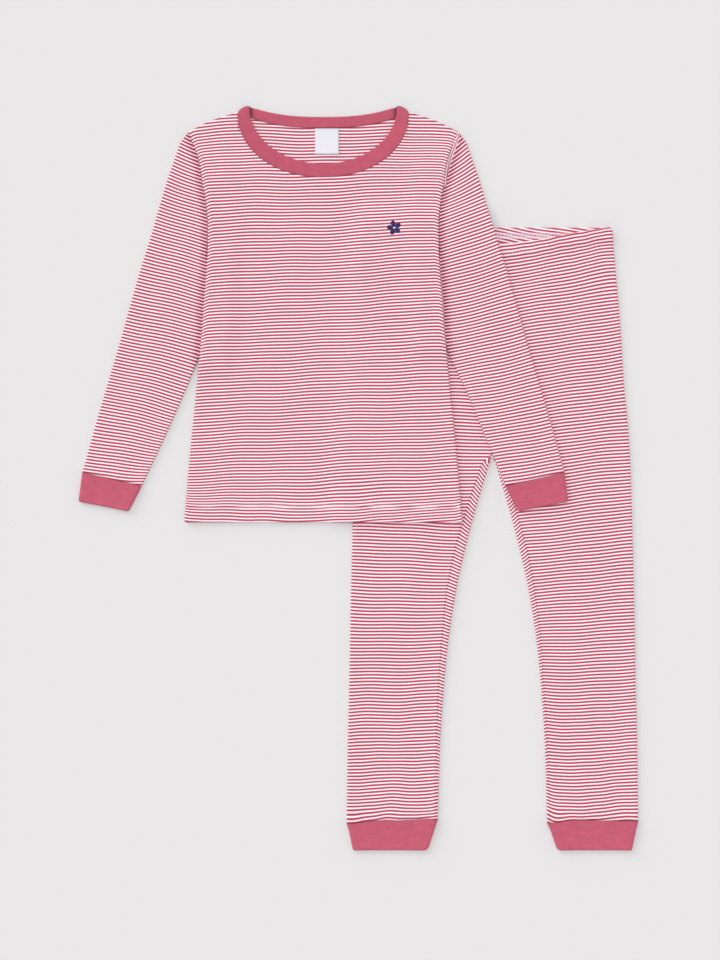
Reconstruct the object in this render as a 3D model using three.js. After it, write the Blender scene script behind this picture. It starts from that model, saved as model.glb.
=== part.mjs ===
import * as THREE from "three";

// A child's pyjama set in striped rib knit, laid out flat: a long-sleeved top that lies partly over
// its own trousers. Millimetres. X runs across the set, Y up towards the neck, Z up from the surface
// that it lies on. Left and right are the wearer's, so the right sleeve is on the negative X side.

// The cloth
const cloth = 1.2; // thickness of one layer of rib knit
const doubled = 2; // thickness where it is turned under, or folded double for a band
const labelThickness = 1;
const gap = 0.3; // between layers that lie on each other, and between pieces at a seam
const bulge = 0.9; // how much higher the upper layer stands beside a fold
const settle = 9; // how far from the fold it takes to come down
const turnedStep = 2; // how far the step at the edge of a turned hem spreads
const seamFlat = 3; // how much of a layer lies flat beside a seam
const cuffGap = 0.45; // between a cuff and what it is sewn to

// The top. "down" is measured from the top of the neck, half widths from its centre line.
const topLength = 436;
const hemDepth = 18;
const hemCorner = 3;
const shoulderNeck = { half: 89.8, down: 6.2 }; // where the shoulder seam meets the neckband
const shoulderRound = 2.2; // how far the shoulder arches above a straight line
const yokeDown = 98; // below this depth the rows of the body run straight across
const frontNeck = { half: 89.8, start: 6.2, depth: 68, power: 2.1 }; // seam of the neckband, front
const frontNeckEdge = { half: 77.5, start: 1, depth: 59, power: 2 }; // its free edge
const backNeck = { half: 89.8, start: 6.2, depth: 16, power: 2.6 }; // seam of the neckband, back
const backNeckEdge = { half: 77.5, start: -0.3, depth: 11, power: 2.6 }; // its free edge
const neckRise = 1; // the front stands this much higher along the neckband
const label = { left: -8.7, right: 16.3, length: 27 };

// Half width of the body, from the tip of the shoulder down the armhole and the side to the hem.
const bodySide = [
  { down: 26.6, half: 141.5 },
  { down: 42, half: 135.8 },
  { down: 60, half: 129.9 },
  { down: 80, half: 127 },
  { down: 98, half: 123.8 },
  { down: 124, half: 121.3 },
  { down: 146, half: 121.4 },
  { down: 172, half: 122.6 },
  { down: 202, half: 125.3 },
  { down: 231, half: 127 },
  { down: 266, half: 130.4 },
  { down: 314, half: 135.1 },
  { down: 367, half: 140.4 },
  { down: 415, half: 144.6 },
  { down: 436, half: 146.5 },
];

// One row for each section of a sleeve. It runs from the fold on the outside of the arm to the edge
// beside the body. That edge is given by its depth and by how far it lies under the side of the
// body: it is sewn to the armhole first, then slips under the body, and comes out again lower down.
const sleeveRows = [
  { edgeDown: 26.6, underRight: -0.3, underLeft: -0.3, fold: 149.9, foldDown: 37.8 },
  { edgeDown: 42, underRight: -0.3, underLeft: -0.3, fold: 153.3, foldDown: 47.5 },
  { edgeDown: 60, underRight: -0.3, underLeft: -0.3, fold: 158, foldDown: 60.5 },
  { edgeDown: 80, underRight: -0.3, underLeft: -0.3, fold: 163, foldDown: 75 },
  { edgeDown: 98, underRight: -0.3, underLeft: -0.3, fold: 168.3, foldDown: 92.4 },
  { edgeDown: 124, underRight: -0.3, underLeft: -0.3, fold: 173.8, foldDown: 111.3 },
  { edgeDown: 158, underRight: -0.3, underLeft: -0.3, fold: 181.5, foldDown: 138 },
  { edgeDown: 175, underRight: 8.5, underLeft: 8.5, fold: 186.8, foldDown: 155 },
  { edgeDown: 194, underRight: 14.5, underLeft: 13, fold: 192.5, foldDown: 173.3 },
  { edgeDown: 220, underRight: 14.5, underLeft: 9.5, fold: 199.5, foldDown: 197.4 },
  { edgeDown: 243, underRight: 8, underLeft: 2.5, fold: 205.4, foldDown: 218.4 },
  { edgeDown: 262, underRight: 0.5, underLeft: -2.5, fold: 210.3, foldDown: 236.3 },
  { edgeDown: 296, underRight: -10.6, underLeft: -15.6, fold: 220.4, foldDown: 270.9 },
  { edgeDown: 342, underRight: -26.2, underLeft: -30.5, fold: 234.7, foldDown: 319.2 },
  { edgeDown: 398, underRight: -47.3, underLeft: -47.8, fold: 252.8, foldDown: 383.8 },
];
const wristCuff = { fold: 256.9, foldDown: 414.2, edge: 204, edgeDown: 424.5, corner: 3 };
const curlStart = 30; // depth where the sides of the body start to curl round at the armhole seam
const curlFull = 60;
const seamLift = 1.8; // how far the body stands above the sleeve along that seam
const slipStart = 137; // depth where it starts to rise higher, to pass over the sleeve
const slipFull = 156; // and where it has risen all the way
const slipWidth = 22; // how wide that raised margin of the body is
const slipEnd = { right: 268, left: 251 }; // depth where the sleeve has come out from under it
const slipFade = 22;

// The trousers, "down" from the waist edge of the back. Each leg is folded at its outer side. On
// its inner side a strip is let in along the inside leg, from the crotch to the ankle.
const trousers = { right: 177.5, down: 127 }; // centre of that waist edge, seen from the top's neck
const legLength = 621.6;
const casingDepth = 11;
const waistHalf = 126;
const frontDrop = 17; // how much lower the front waist edge lies at its middle
const frontDropPower = 1.5;
const dropFade = 180; // depth by which the front and back lie level with each other
const waistLift = 0.6; // how far the front stands open at the waist
const waistLiftDepth = 30;
const crotch = 237;
const crotchRound = { from: 227, to: 257 }; // where the leg starts to stand up beside its inner edge
const crotchNear = { above: 225, below: 247 }; // sections that hold the shape close to the crotch
const thigh = 307;
const gathersFade = 60;
const legRows = [
  { down: 0, outer: 125.5, inner: 0, stripRight: 0, stripLeft: 0 },
  { down: 43, outer: 129, inner: 0, stripRight: 0, stripLeft: 0 },
  { down: 107, outer: 134.4, inner: 0, stripRight: 0, stripLeft: 0 },
  { down: 163, outer: 137.8, inner: 0, stripRight: 0, stripLeft: 0 },
  { down: 207, outer: 142, inner: 0, stripRight: 0, stripLeft: 0 },
  { down: 237, outer: 144, inner: 0, stripRight: 0, stripLeft: 0 },
  { down: 247, outer: 144.6, inner: 3.2, stripRight: 7.4, stripLeft: 6.2 },
  { down: 307, outer: 146.5, inner: 21, stripRight: 9.5, stripLeft: 6.6 },
  { down: 338, outer: 147.3, inner: 28.8, stripRight: 10.5, stripLeft: 7.4 },
  { down: 377, outer: 148.3, inner: 37.5, stripRight: 9.6, stripLeft: 6.2 },
  { down: 443, outer: 149.5, inner: 47.5, stripRight: 6.4, stripLeft: 3.8 },
  { down: 494, outer: 150.5, inner: 52, stripRight: 5.2, stripLeft: 2.6 },
  { down: 541, outer: 151.7, inner: 55, stripRight: 3.4, stripLeft: 2.5 },
  { down: 622, outer: 152.9, inner: 57.4, stripRight: 2.5, stripLeft: 2.5 },
];
const ankleCuff = { down: 653, outer: 146.4, inner: 68, corner: 4 };
const stripStart = 241;
const narrowestStrip = 2.5;

// Soft ridges that run down from the casing where the elastic gathers the cloth. Each starts at x,
// drifts sideways by "lean" for each millimetre down, and fades out over its length.
const gatherWidth = 9;
const gathers = [
  { x: -92, lean: -0.08, length: 90, rise: 0.5 },
  { x: -58, lean: -0.12, length: 70, rise: 0.4 },
  { x: -24, lean: -0.06, length: 110, rise: 0.5 },
  { x: 18, lean: 0.1, length: 95, rise: 0.5 },
  { x: 47, lean: 0.15, length: 150, rise: 0.6 },
  { x: 79, lean: 0.1, length: 75, rise: 0.4 },
  { x: 103, lean: 0.05, length: 120, rise: 0.6 },
];
const sleeveFullness = 0.8; // how far a sleeve stands up along its middle, below the underarm

// How the top lies over the trousers
const overTrousers = 2 * cloth + 2 * gap + bulge;
const overWaist = 2 * doubled + 2 * gap + bulge + waistLift;
const waistReach = { full: 34, end: 66 };
const drapeStart = 6; // the cloth stays up this far past the edge of the trousers
const drapeWidth = 26; // and takes this far to come down to the surface
const overSleeve = 2 * cloth + 2 * gap + bulge;

// Steps of the meshes
const foldSteps = 4;
const rollSteps = 3;
const rowStep = 24;
const legStep = 36;
const neckSteps = 14;
const cornerSteps = 3;
const labelStep = 7;
const diagonalChoice = 1.2; // a quad is split along its other diagonal if that is this much shorter
const sideShares = [0.04, 0.08, 0.13]; // columns between the side and the shoulder's inner end

// Colours of the cloth, from light and dark stripes seen together
const striped = new THREE.MeshStandardMaterial({ color: 0xe0a9b5, roughness: 0.9, metalness: 0 });
const ribBand = new THREE.MeshStandardMaterial({ color: 0xc9617a, roughness: 0.9, metalness: 0 });
const plainWhite = new THREE.MeshStandardMaterial({ color: 0xe6e4ec, roughness: 0.8, metalness: 0 });

// Small helpers
const mix = (a, b, share) => a + (b - a) * share;
const clamp = (value, low, high) => Math.min(Math.max(value, low), high);
const risesTo = (value, start, end) => THREE.MathUtils.smoothstep(value, start, end);
const besideFold = (distance) => bulge * Math.exp(-((distance / settle) ** 2));

// Reads a column of a table at any depth, by a smooth curve that never passes beyond its rows.
function read(table, key, column, at) {
  const last = table.length - 1;
  const wanted = clamp(at, table[0][key], table[last][key]);
  let row = 0;
  while (row < last - 1 && table[row + 1][key] < wanted) row += 1;
  const secant = (i) => (table[i + 1][column] - table[i][column]) / (table[i + 1][key] - table[i][key]);
  const slope = (i) => {
    if (i === 0) return secant(0);
    if (i === last) return secant(last - 1);
    const before = secant(i - 1);
    const after = secant(i);
    return before * after > 0 ? (2 * before * after) / (before + after) : 0;
  };
  const width = table[row + 1][key] - table[row][key];
  const s = (wanted - table[row][key]) / width;
  const from = table[row][column];
  const to = table[row + 1][column];
  const bendIn = s * (1 - s) * (1 - s) * width * slope(row);
  const bendOut = s * s * (s - 1) * width * slope(row + 1);
  return from * (1 + 2 * s) * (1 - s) ** 2 + to * s * s * (3 - 2 * s) + bendIn + bendOut;
}

// Depths from the first mark to the last, with even steps of at most the given size between marks.
function spaced(marks, step) {
  const places = [marks[0]];
  for (let i = 1; i < marks.length; i += 1) {
    const count = Math.max(1, Math.round((marks[i] - marks[i - 1]) / step));
    for (let k = 1; k <= count; k += 1) places.push(mix(marks[i - 1], marks[i], k / count));
  }
  return places;
}

// Closes a wall round a grid of points that lie in the middle of the cloth. Each point also holds
// the cloth's thickness there, and the way that its outer side faces. A grid that is "closed" joins
// its last column to its first.
function wall(grid, closed = false) {
  const rows = grid.length;
  const columns = grid[0].length;
  const corner = grid[0][0];
  const down = grid[1][0].at.clone().sub(corner.at);
  const along = grid[0][1].at.clone().sub(corner.at);
  const way = Math.sign(down.cross(along).dot(corner.facing));
  const spots = [];
  for (const { at, thickness, facing } of grid.flat()) {
    spots.push(at.clone().addScaledVector(facing, (way * thickness) / 2));
    spots.push(at.clone().addScaledVector(facing, (-way * thickness) / 2));
  }
  const upper = (i, j) => 2 * (i * columns + (j % columns));
  const lower = (i, j) => upper(i, j) + 1;
  const faces = [];
  const quad = (a, b, c, d) => {
    const across = spots[a].distanceTo(spots[c]);
    if (across < diagonalChoice * spots[b].distanceTo(spots[d])) faces.push(a, b, c, a, c, d);
    else faces.push(a, b, d, b, c, d);
  };
  const cells = closed ? columns : columns - 1;
  for (let i = 0; i < rows - 1; i += 1) {
    for (let j = 0; j < cells; j += 1) {
      quad(upper(i, j), upper(i + 1, j), upper(i + 1, j + 1), upper(i, j + 1));
      quad(lower(i, j), lower(i, j + 1), lower(i + 1, j + 1), lower(i + 1, j));
    }
    if (!closed) {
      const end = columns - 1;
      quad(upper(i, 0), lower(i, 0), lower(i + 1, 0), upper(i + 1, 0));
      quad(upper(i, end), upper(i + 1, end), lower(i + 1, end), lower(i, end));
    }
  }
  for (let j = 0; j < cells; j += 1) {
    const foot = rows - 1;
    quad(upper(0, j), upper(0, j + 1), lower(0, j + 1), lower(0, j));
    quad(upper(foot, j), lower(foot, j), lower(foot, j + 1), upper(foot, j + 1));
  }
  const geometry = new THREE.BufferGeometry();
  geometry.setAttribute("position", new THREE.Float32BufferAttribute(spots.flatMap((p) => p.toArray()), 3));
  geometry.setIndex(faces);
  geometry.computeVertexNormals();
  return geometry;
}

// A spot in the middle of the cloth. Its outer side leans from straight up (0) or straight down
// (half a turn) towards "aside", a direction in the plan.
function point(place, height, thickness, turn = 0, aside = new THREE.Vector2()) {
  const sideways = aside.clone().multiplyScalar(Math.sin(turn));
  return {
    at: new THREE.Vector3(place.x, place.y, height),
    thickness,
    facing: new THREE.Vector3(sideways.x, sideways.y, Math.cos(turn)),
  };
}

// One section of a folded piece, from the open edge of its lower layer, round the fold, to the open
// edge of its upper layer. "place" gives the plan of a spot from its distance from the fold and its
// layer, 0 below and 1 above. "roll" says how far both open edges curl towards each other, from
// 0, where they end flat at a seam, to 1, where they meet half way up at a seam on the very side.
function foldedSection({ width, place, low, thickness, roll, wave, spans }) {
  const radius = (thickness + gap + bulge) / 2;
  const rollRadius = radius - gap / 2;
  const nearFold = thickness / 2 + radius;
  const nearEdge = width - mix(Math.min(seamFlat, width / 4), thickness / 2 + rollRadius, roll);
  const toFold = place(0, 0).clone().sub(place(width, 0)).normalize();
  const toEdge = toFold.clone().negate();
  const section = [];
  const add = (distance, layer, height, turn, aside) => {
    const spot = place(distance, layer);
    const middle = low(spot.x, spot.y) + thickness / 2;
    section.push(point(spot, middle + height, thickness, turn, aside));
  };
  const upper = (distance) => {
    const spot = place(distance, 1);
    const raised = besideFold(distance - nearFold) + roll * besideFold(nearEdge - distance);
    return thickness + gap + Math.min(raised, bulge) + wave(spot.x, spot.y, distance / width);
  };
  const curl = (angle) => ({
    distance: mix(mix(nearEdge, width, (2 * angle) / Math.PI), nearEdge + rollRadius * Math.sin(angle), roll),
    height: roll * rollRadius * (1 - Math.cos(angle)),
  });
  for (let k = rollSteps; k > 0; k -= 1) {
    const angle = ((k / rollSteps) * Math.PI) / 2;
    const { distance, height } = curl(angle);
    add(distance, 0, height, Math.PI - roll * angle, toEdge);
  }
  for (let k = 0; k < spans.lower; k += 1) {
    add(mix(nearEdge, nearFold, k / spans.lower), 0, 0, Math.PI, toFold);
  }
  for (let k = 0; k <= foldSteps; k += 1) {
    const angle = (k / foldSteps) * Math.PI;
    const distance = nearFold - radius * Math.sin(angle);
    add(distance, k / foldSteps, radius * (1 - Math.cos(angle)), Math.PI - angle, toFold);
  }
  for (let k = 1; k <= spans.upper; k += 1) {
    const distance = mix(nearFold, nearEdge, k / spans.upper);
    add(distance, 1, upper(distance), 0, toFold);
  }
  for (let k = 1; k <= rollSteps; k += 1) {
    const angle = ((k / rollSteps) * Math.PI) / 2;
    const { distance, height } = curl(angle);
    add(distance, 1, upper(nearEdge) - height, roll * angle, toEdge);
  }
  return section;
}

// One section of a closed, flattened tube such as a cuff.
function tubeSection({ width, place, low, thickness, spans }) {
  const radius = (thickness + gap + bulge) / 2;
  const near = thickness / 2 + radius;
  const toStart = place(0).clone().sub(place(width)).normalize();
  const toEnd = toStart.clone().negate();
  const section = [];
  const add = (distance, height, turn, aside) => {
    const spot = place(distance);
    const middle = low(spot.x, spot.y) + thickness / 2;
    section.push(point(spot, middle + height, thickness, turn, aside));
  };
  for (let k = 0; k < foldSteps; k += 1) {
    const angle = (k / foldSteps) * Math.PI;
    add(near - radius * Math.sin(angle), radius * (1 - Math.cos(angle)), Math.PI - angle, toStart);
  }
  for (let k = 0; k < spans; k += 1) {
    const distance = mix(near, width - near, k / spans);
    const raised = besideFold(distance - near) + besideFold(width - near - distance);
    add(distance, thickness + gap + Math.min(raised, bulge), 0, toStart);
  }
  for (let k = 0; k < foldSteps; k += 1) {
    const angle = (k / foldSteps) * Math.PI;
    add(width - near + radius * Math.sin(angle), radius * (1 + Math.cos(angle)), angle, toEnd);
  }
  for (let k = 0; k < spans; k += 1) add(mix(width - near, near, k / spans), 0, Math.PI, toEnd);
  return section;
}

// How much a rounded corner takes off the width, at a distance from the end of the piece.
function cornerInset(radius, fromEnd) {
  const inside = clamp(radius - fromEnd, 0, radius);
  return radius - Math.sqrt(radius ** 2 - inside ** 2);
}

// How far before the end of a piece the sections lie that shape its rounded corners.
function cornerPlaces(radius) {
  const bends = spaced([0, 1], 1 / cornerSteps);
  return bends.map((bend) => radius * (1 - Math.sin((bend * Math.PI) / 2)));
}

// Trousers

const outerAt = (down) => read(legRows, "down", "outer", down);
const innerAt = (down) => read(legRows, "down", "inner", down);
const stripAt = (down, side) =>
  Math.max(read(legRows, "down", side < 0 ? "stripRight" : "stripLeft", down), narrowestStrip);
const dropAt = (x) => frontDrop * Math.cos((Math.PI / 2) * Math.min(Math.abs(x) / waistHalf, 1)) ** frontDropPower;
const casingAt = (down) => mix(doubled, cloth, risesTo(down, casingDepth, casingDepth + turnedStep));

function gathersAt(x, down) {
  let height = 0;
  for (const ridge of gathers) {
    const aside = (x - ridge.x - ridge.lean * down) / gatherWidth;
    const fade = risesTo(down, 0, casingDepth) * (1 - risesTo(down, ridge.length / 3, ridge.length));
    height += ridge.rise * fade * Math.exp(-(aside ** 2));
  }
  return height;
}

// Where the leg's open edge lies: at the centre seam, and below the crotch beside the strip.
function legEdgeAt(down, side) {
  if (down <= crotch) return gap / 2;
  return Math.max(gap / 2, innerAt(down) + stripAt(down, side) + gap);
}

const aboveCrotch = [0, casingDepth - 1, casingDepth + turnedStep, gathersFade, crotchNear.above, crotch];
const belowCrotch = [stripStart, crotchNear.below, thigh, legLength - cuffGap];
const legDowns = spaced([...aboveCrotch, ...belowCrotch], legStep);

function legPiece(side) {
  return wall(
    legDowns.map((down) => {
      const outer = outerAt(down);
      const width = outer - legEdgeAt(down, side);
      const place = (distance, layer) => {
        const x = outer - distance;
        const drop = dropAt(x) * layer * (1 - risesTo(down, 0, dropFade));
        return new THREE.Vector2(side * x, -(down + drop));
      };
      const innerRise = risesTo(down, crotchRound.from, crotchRound.to);
      const wave = (x, y, share) => {
        const fromInner = Math.abs(x) - innerAt(down);
        const under = casingAt(-y) - cloth;
        const open = waistLift * (1 - risesTo(down, 0, waistLiftDepth)) * Math.sin(Math.PI * Math.min(share, 0.5));
        return innerRise * besideFold(fromInner) + under + open + gathersAt(x, down);
      };
      return foldedSection({
        width,
        place,
        low: () => 0,
        thickness: casingAt(down),
        roll: 0,
        wave,
        spans: { lower: 3, upper: 10 },
      });
    }),
  );
}

function stripPiece(side) {
  const downs = legDowns.filter((down) => down >= stripStart);
  return wall(
    downs.map((down) => {
      const inner = Math.max(innerAt(down), gap / 2);
      const width = stripAt(down, side);
      const place = (distance) => new THREE.Vector2(side * (inner + distance), -down);
      return foldedSection({
        width,
        place,
        low: () => 0,
        thickness: cloth,
        roll: 0,
        wave: () => 0,
        spans: { lower: 1, upper: 1 },
      });
    }),
  );
}

function ankleCuffPiece(side) {
  const { corner } = ankleCuff;
  const downs = [legLength, mix(legLength, ankleCuff.down, 0.5)];
  for (const before of cornerPlaces(corner)) downs.push(ankleCuff.down - before);
  return wall(
    downs.map((down) => {
      const share = (down - legLength) / (ankleCuff.down - legLength);
      const inset = cornerInset(corner, ankleCuff.down - down);
      const outer = mix(outerAt(legLength), ankleCuff.outer, share) - inset;
      const inner = mix(innerAt(legLength), ankleCuff.inner, share) + inset;
      const place = (distance) => new THREE.Vector2(side * (outer - distance), -down);
      return tubeSection({ width: outer - inner, place, low: () => 0, thickness: doubled, spans: 4 });
    }),
    true,
  );
}

// How the top lies: the height of the trousers under it, and of the sleeve under its side

function overTrousersAt(x, y) {
  const across = Math.abs(x - trousers.right);
  const down = -y - trousers.down;
  const outside = Math.hypot(Math.max(0, across - outerAt(Math.max(down, 0))), Math.max(0, -down));
  const waist = 1 - risesTo(down, waistReach.full, waistReach.end);
  return mix(overTrousers, overWaist, waist) * (1 - risesTo(outside, drapeStart, drapeStart + drapeWidth));
}

const sideAt = (down) => read(bodySide, "down", "half", down);

function underAt(down, side) {
  return read(sleeveRows, "edgeDown", side < 0 ? "underRight" : "underLeft", down);
}

function bodyLow(x, y) {
  const down = -y;
  const side = Math.sign(x) || 1;
  const fromSide = sideAt(down) - Math.abs(x);
  const end = side < 0 ? slipEnd.right : slipEnd.left;
  const beside = seamLift * risesTo(down, curlStart, curlFull);
  const lift = mix(beside, overSleeve, risesTo(down, slipStart, slipFull));
  const along = lift * (1 - risesTo(down, end, end + slipFade));
  return overTrousersAt(x, y) + along * (1 - risesTo(fromSide, slipWidth, 2 * slipWidth));
}

// The body of the top

const sleeveMarks = sleeveRows.map((row) => row.edgeDown);
const sideDowns = spaced(sleeveMarks, rowStep);
const lastShared = 262; // below this depth the sides of the body need fewer sections than the sleeves

// A neck curve from one shoulder to the other: share -1 to 1 of the way across.
function frontCurve({ half, start, depth, power }, share) {
  const angle = (share * Math.PI) / 2;
  const x = half * Math.sign(angle) * Math.abs(Math.sin(angle)) ** (2 / power);
  return new THREE.Vector2(x, -start - depth * Math.abs(Math.cos(angle)) ** (2 / power));
}

function backCurve({ half, start, depth, power }, share) {
  return new THREE.Vector2(half * share, -start - depth * (1 - Math.abs(share) ** power));
}

const neckFade = 0.06; // how softly the rise along the neckband begins, as a share of the width
const shoulderShare = 0.18; // the part of a row of the body that lies under each shoulder

// The upper edge of a panel: a shoulder, the neck curve, and the other shoulder.
function upperEdge(share, neck) {
  const fromCentre = Math.abs(share - 0.5) * 2;
  const side = Math.sign(share - 0.5);
  const neckShare = 1 - 2 * shoulderShare;
  if (fromCentre <= neckShare) return neck((side * fromCentre) / neckShare);
  const along = (fromCentre - neckShare) / (1 - neckShare);
  const tip = bodySide[0];
  const arch = shoulderRound * Math.sin(Math.PI * along);
  const x = mix(shoulderNeck.half, tip.half, along);
  return new THREE.Vector2(side * x, arch - mix(shoulderNeck.down, tip.down, along));
}

// Rows above the yoke line blend from the upper edge to a straight row. Below it they are straight.
function bodyPlan(down, neck) {
  const half = sideAt(down);
  if (down >= yokeDown) {
    const inset = cornerInset(hemCorner, topLength - down);
    return (share) => new THREE.Vector2((half - inset) * (2 * share - 1), -down);
  }
  const tip = bodySide[0];
  const lowered = (down - tip.down) / (yokeDown - tip.down);
  const yokeHalf = sideAt(yokeDown);
  const armholeBend = half - mix(tip.half, yokeHalf, lowered);
  return (share) => {
    const top = upperEdge(share, neck);
    const across = 2 * share - 1;
    const nearArmhole = clamp(1 - (1 - Math.abs(across)) / (2 * shoulderShare), 0, 1);
    const x = mix(top.x, yokeHalf * across, lowered) + Math.sign(across) * armholeBend * nearArmhole;
    return new THREE.Vector2(x, mix(top.y, -yokeDown, lowered));
  };
}

// Columns of a panel: those across the neck meet the steps of the neckband.
const neckShares = spaced([shoulderShare, 1 - shoulderShare], (1 - 2 * shoulderShare) / neckSteps);
const columnShares = [...sideShares, ...neckShares, ...sideShares.map((share) => 1 - share).reverse()];

const hemAt = (down) => mix(cloth, doubled, risesTo(down, topLength - hemDepth - turnedStep, topLength - hemDepth));

function bodyPanel(isFront) {
  const neck = isFront
    ? (share) => frontCurve(frontNeck, share)
    : (share) => backCurve(backNeck, share);
  const shared = sideDowns.filter((down) => down <= lastShared);
  const hemMarks = [topLength - hemDepth - turnedStep, topLength - hemDepth];
  const corner = cornerPlaces(hemCorner).map((before) => topLength - before);
  const downs = [...shared, ...spaced([lastShared, ...hemMarks, ...corner], rowStep).slice(1)];
  return wall(
    downs.map((down) => {
      const plan = bodyPlan(down, neck);
      const thickness = hemAt(down);
      const width = 2 * sideAt(down);
      const roll = risesTo(down, curlStart, curlFull);
      const radius = (thickness + bulge) / 2;
      const near = mix(seamFlat, thickness / 2 + radius, roll);
      const section = [];
      const add = (distance, curled, turn) => {
        const share = distance / width;
        const spot = plan(share);
        const fromSide = Math.min(distance, width - distance) - near;
        const raised = roll * besideFold(Math.max(fromSide, 0));
        const fromMiddle = Math.abs(share - 0.5);
        const besideNeck = risesTo(0.5 - fromMiddle, shoulderShare - neckFade, shoulderShare + neckFade);
        const upNeck = neckRise * besideNeck * (1 - risesTo(down, bodySide[0].down, yokeDown));
        const layer = isFront ? thickness + gap + raised + upNeck - curled : curled;
        const middle = bodyLow(spot.x, spot.y) + thickness / 2;
        const aside = new THREE.Vector2(Math.sign(share - 0.5), 0);
        section.push(point(spot, middle + layer, thickness, isFront ? turn : Math.PI - turn, aside));
      };
      const curls = spaced([0, 1], 1 / rollSteps).slice(1);
      const addCurl = (bend, fromRight) => {
        const angle = (bend * Math.PI) / 2;
        const inset = mix(near * (1 - bend), near - radius * Math.sin(angle), roll);
        add(fromRight ? width - inset : inset, roll * radius * (1 - Math.cos(angle)), roll * angle);
      };
      for (const bend of [...curls].reverse()) addCurl(bend, false);
      add(near, 0, 0);
      for (const share of columnShares) add(width * share, 0, 0);
      add(width - near, 0, 0);
      for (const bend of curls) addCurl(bend, true);
      return section;
    }),
  );
}

// Sleeves and cuffs

function sleevePiece(side) {
  return wall(
    sideDowns.map((down) => {
      const fold = new THREE.Vector2(
        side * read(sleeveRows, "edgeDown", "fold", down),
        -read(sleeveRows, "edgeDown", "foldDown", down),
      );
      const edge = new THREE.Vector2(side * (sideAt(down) - underAt(down, side)), -down);
      const width = fold.distanceTo(edge);
      const place = (distance) => fold.clone().lerp(edge, distance / width);
      const roll = risesTo(down, slipStart, slipFull);
      const full = sleeveFullness * risesTo(down, slipFull, slipEnd.right);
      return foldedSection({
        width,
        place,
        low: overTrousersAt,
        thickness: cloth,
        roll,
        wave: (x, y, share) => full * Math.sin(Math.PI * share) ** 2,
        spans: { lower: 3, upper: 5 },
      });
    }),
  );
}

function wristCuffPiece(side) {
  const seam = sleeveRows[sleeveRows.length - 1];
  const seamFold = new THREE.Vector2(side * seam.fold, -seam.foldDown);
  const fromBody = -underAt(seam.edgeDown, side);
  const seamEdge = new THREE.Vector2(side * (sideAt(seam.edgeDown) + fromBody), -seam.edgeDown);
  const endFold = new THREE.Vector2(side * wristCuff.fold, -wristCuff.foldDown);
  const endEdge = new THREE.Vector2(side * wristCuff.edge, -wristCuff.edgeDown);
  const length = seamFold.distanceTo(endFold);
  const { corner } = wristCuff;
  const shares = [cuffGap / length, 0.5];
  for (const before of cornerPlaces(corner)) shares.push(1 - before / length);
  return wall(
    shares.map((share) => {
      const fold = seamFold.clone().lerp(endFold, share);
      const edge = seamEdge.clone().lerp(endEdge, share);
      const full = fold.distanceTo(edge);
      const inset = cornerInset(corner, (1 - share) * length);
      const place = (distance) => fold.clone().lerp(edge, (distance + inset) / full);
      return tubeSection({
        width: full - 2 * inset,
        place,
        low: overTrousersAt,
        thickness: doubled,
        spans: 4,
      });
    }),
    true,
  );
}

// Neckband and label

function neckbandPiece(isFront) {
  const height = isFront ? doubled + gap + doubled / 2 : doubled / 2;
  const rows = [];
  for (let i = 0; i <= neckSteps; i += 1) {
    const share = (2 * i) / neckSteps - 1;
    const seam = isFront ? frontCurve(frontNeck, share) : backCurve(backNeck, share);
    const free = isFront ? frontCurve(frontNeckEdge, share) : backCurve(backNeckEdge, share);
    const width = seam.distanceTo(free);
    const row = [];
    for (let k = 0; k <= 2; k += 1) {
      const spot = seam.clone().lerp(free, mix(gap / width, 1, k / 2));
      row.push(point(spot, height, doubled));
    }
    rows.push(row);
  }
  return wall(rows, false);
}

function labelPiece() {
  const top = -backNeck.start - backNeck.depth - 2 * gap;
  const height = cloth + gap + labelThickness / 2;
  const rows = spaced([0, label.length], labelStep).map((down) =>
    spaced([label.left, label.right], labelStep).map((x) =>
      point(new THREE.Vector2(x, top - down), height, labelThickness),
    ),
  );
  return wall(rows, false);
}

// The set

const set = new THREE.Group();
const topGroup = new THREE.Group();
const trousersGroup = new THREE.Group();
trousersGroup.position.set(trousers.right, -trousers.down, 0);
set.add(topGroup, trousersGroup);

function addPiece(group, name, geometry, material) {
  const mesh = new THREE.Mesh(geometry, material);
  mesh.name = name;
  group.add(mesh);
}

addPiece(topGroup, "top_front", bodyPanel(true), striped);
addPiece(topGroup, "top_back", bodyPanel(false), striped);
addPiece(topGroup, "neckband_front", neckbandPiece(true), ribBand);
addPiece(topGroup, "neckband_back", neckbandPiece(false), ribBand);
addPiece(topGroup, "neck_label", labelPiece(), plainWhite);
const sides = [
  { word: "right", side: -1 },
  { word: "left", side: 1 },
];
for (const { word, side } of sides) {
  addPiece(topGroup, `sleeve_${word}`, sleevePiece(side), striped);
  addPiece(topGroup, `wrist_cuff_${word}`, wristCuffPiece(side), ribBand);
  addPiece(trousersGroup, `trouser_leg_${word}`, legPiece(side), striped);
  addPiece(trousersGroup, `inner_leg_strip_${word}`, stripPiece(side), striped);
  addPiece(trousersGroup, `ankle_cuff_${word}`, ankleCuffPiece(side), ribBand);
}

// The origin is under the middle of the whole set.
const group = new THREE.Group();
group.add(set);
const middle = new THREE.Box3().setFromObject(set).getCenter(new THREE.Vector3());
set.position.set(-middle.x, -middle.y, 0);

export default group;
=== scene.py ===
# %% [markdown]
# # A child's striped pyjama set, laid out flat
#
# This lesson dresses a pyjama set: a long-sleeved top that lies partly over its own trousers. The
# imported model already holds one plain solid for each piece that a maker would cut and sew. Here
# each of them gets a fine cloth shell on the same form, with stripes that follow the knit, soft
# creases, seams, stitches and the nap of cotton. The camera looks straight down, as one does on
# clothes that are laid out on a table.

# %% Load the fixed frame
import math

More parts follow.
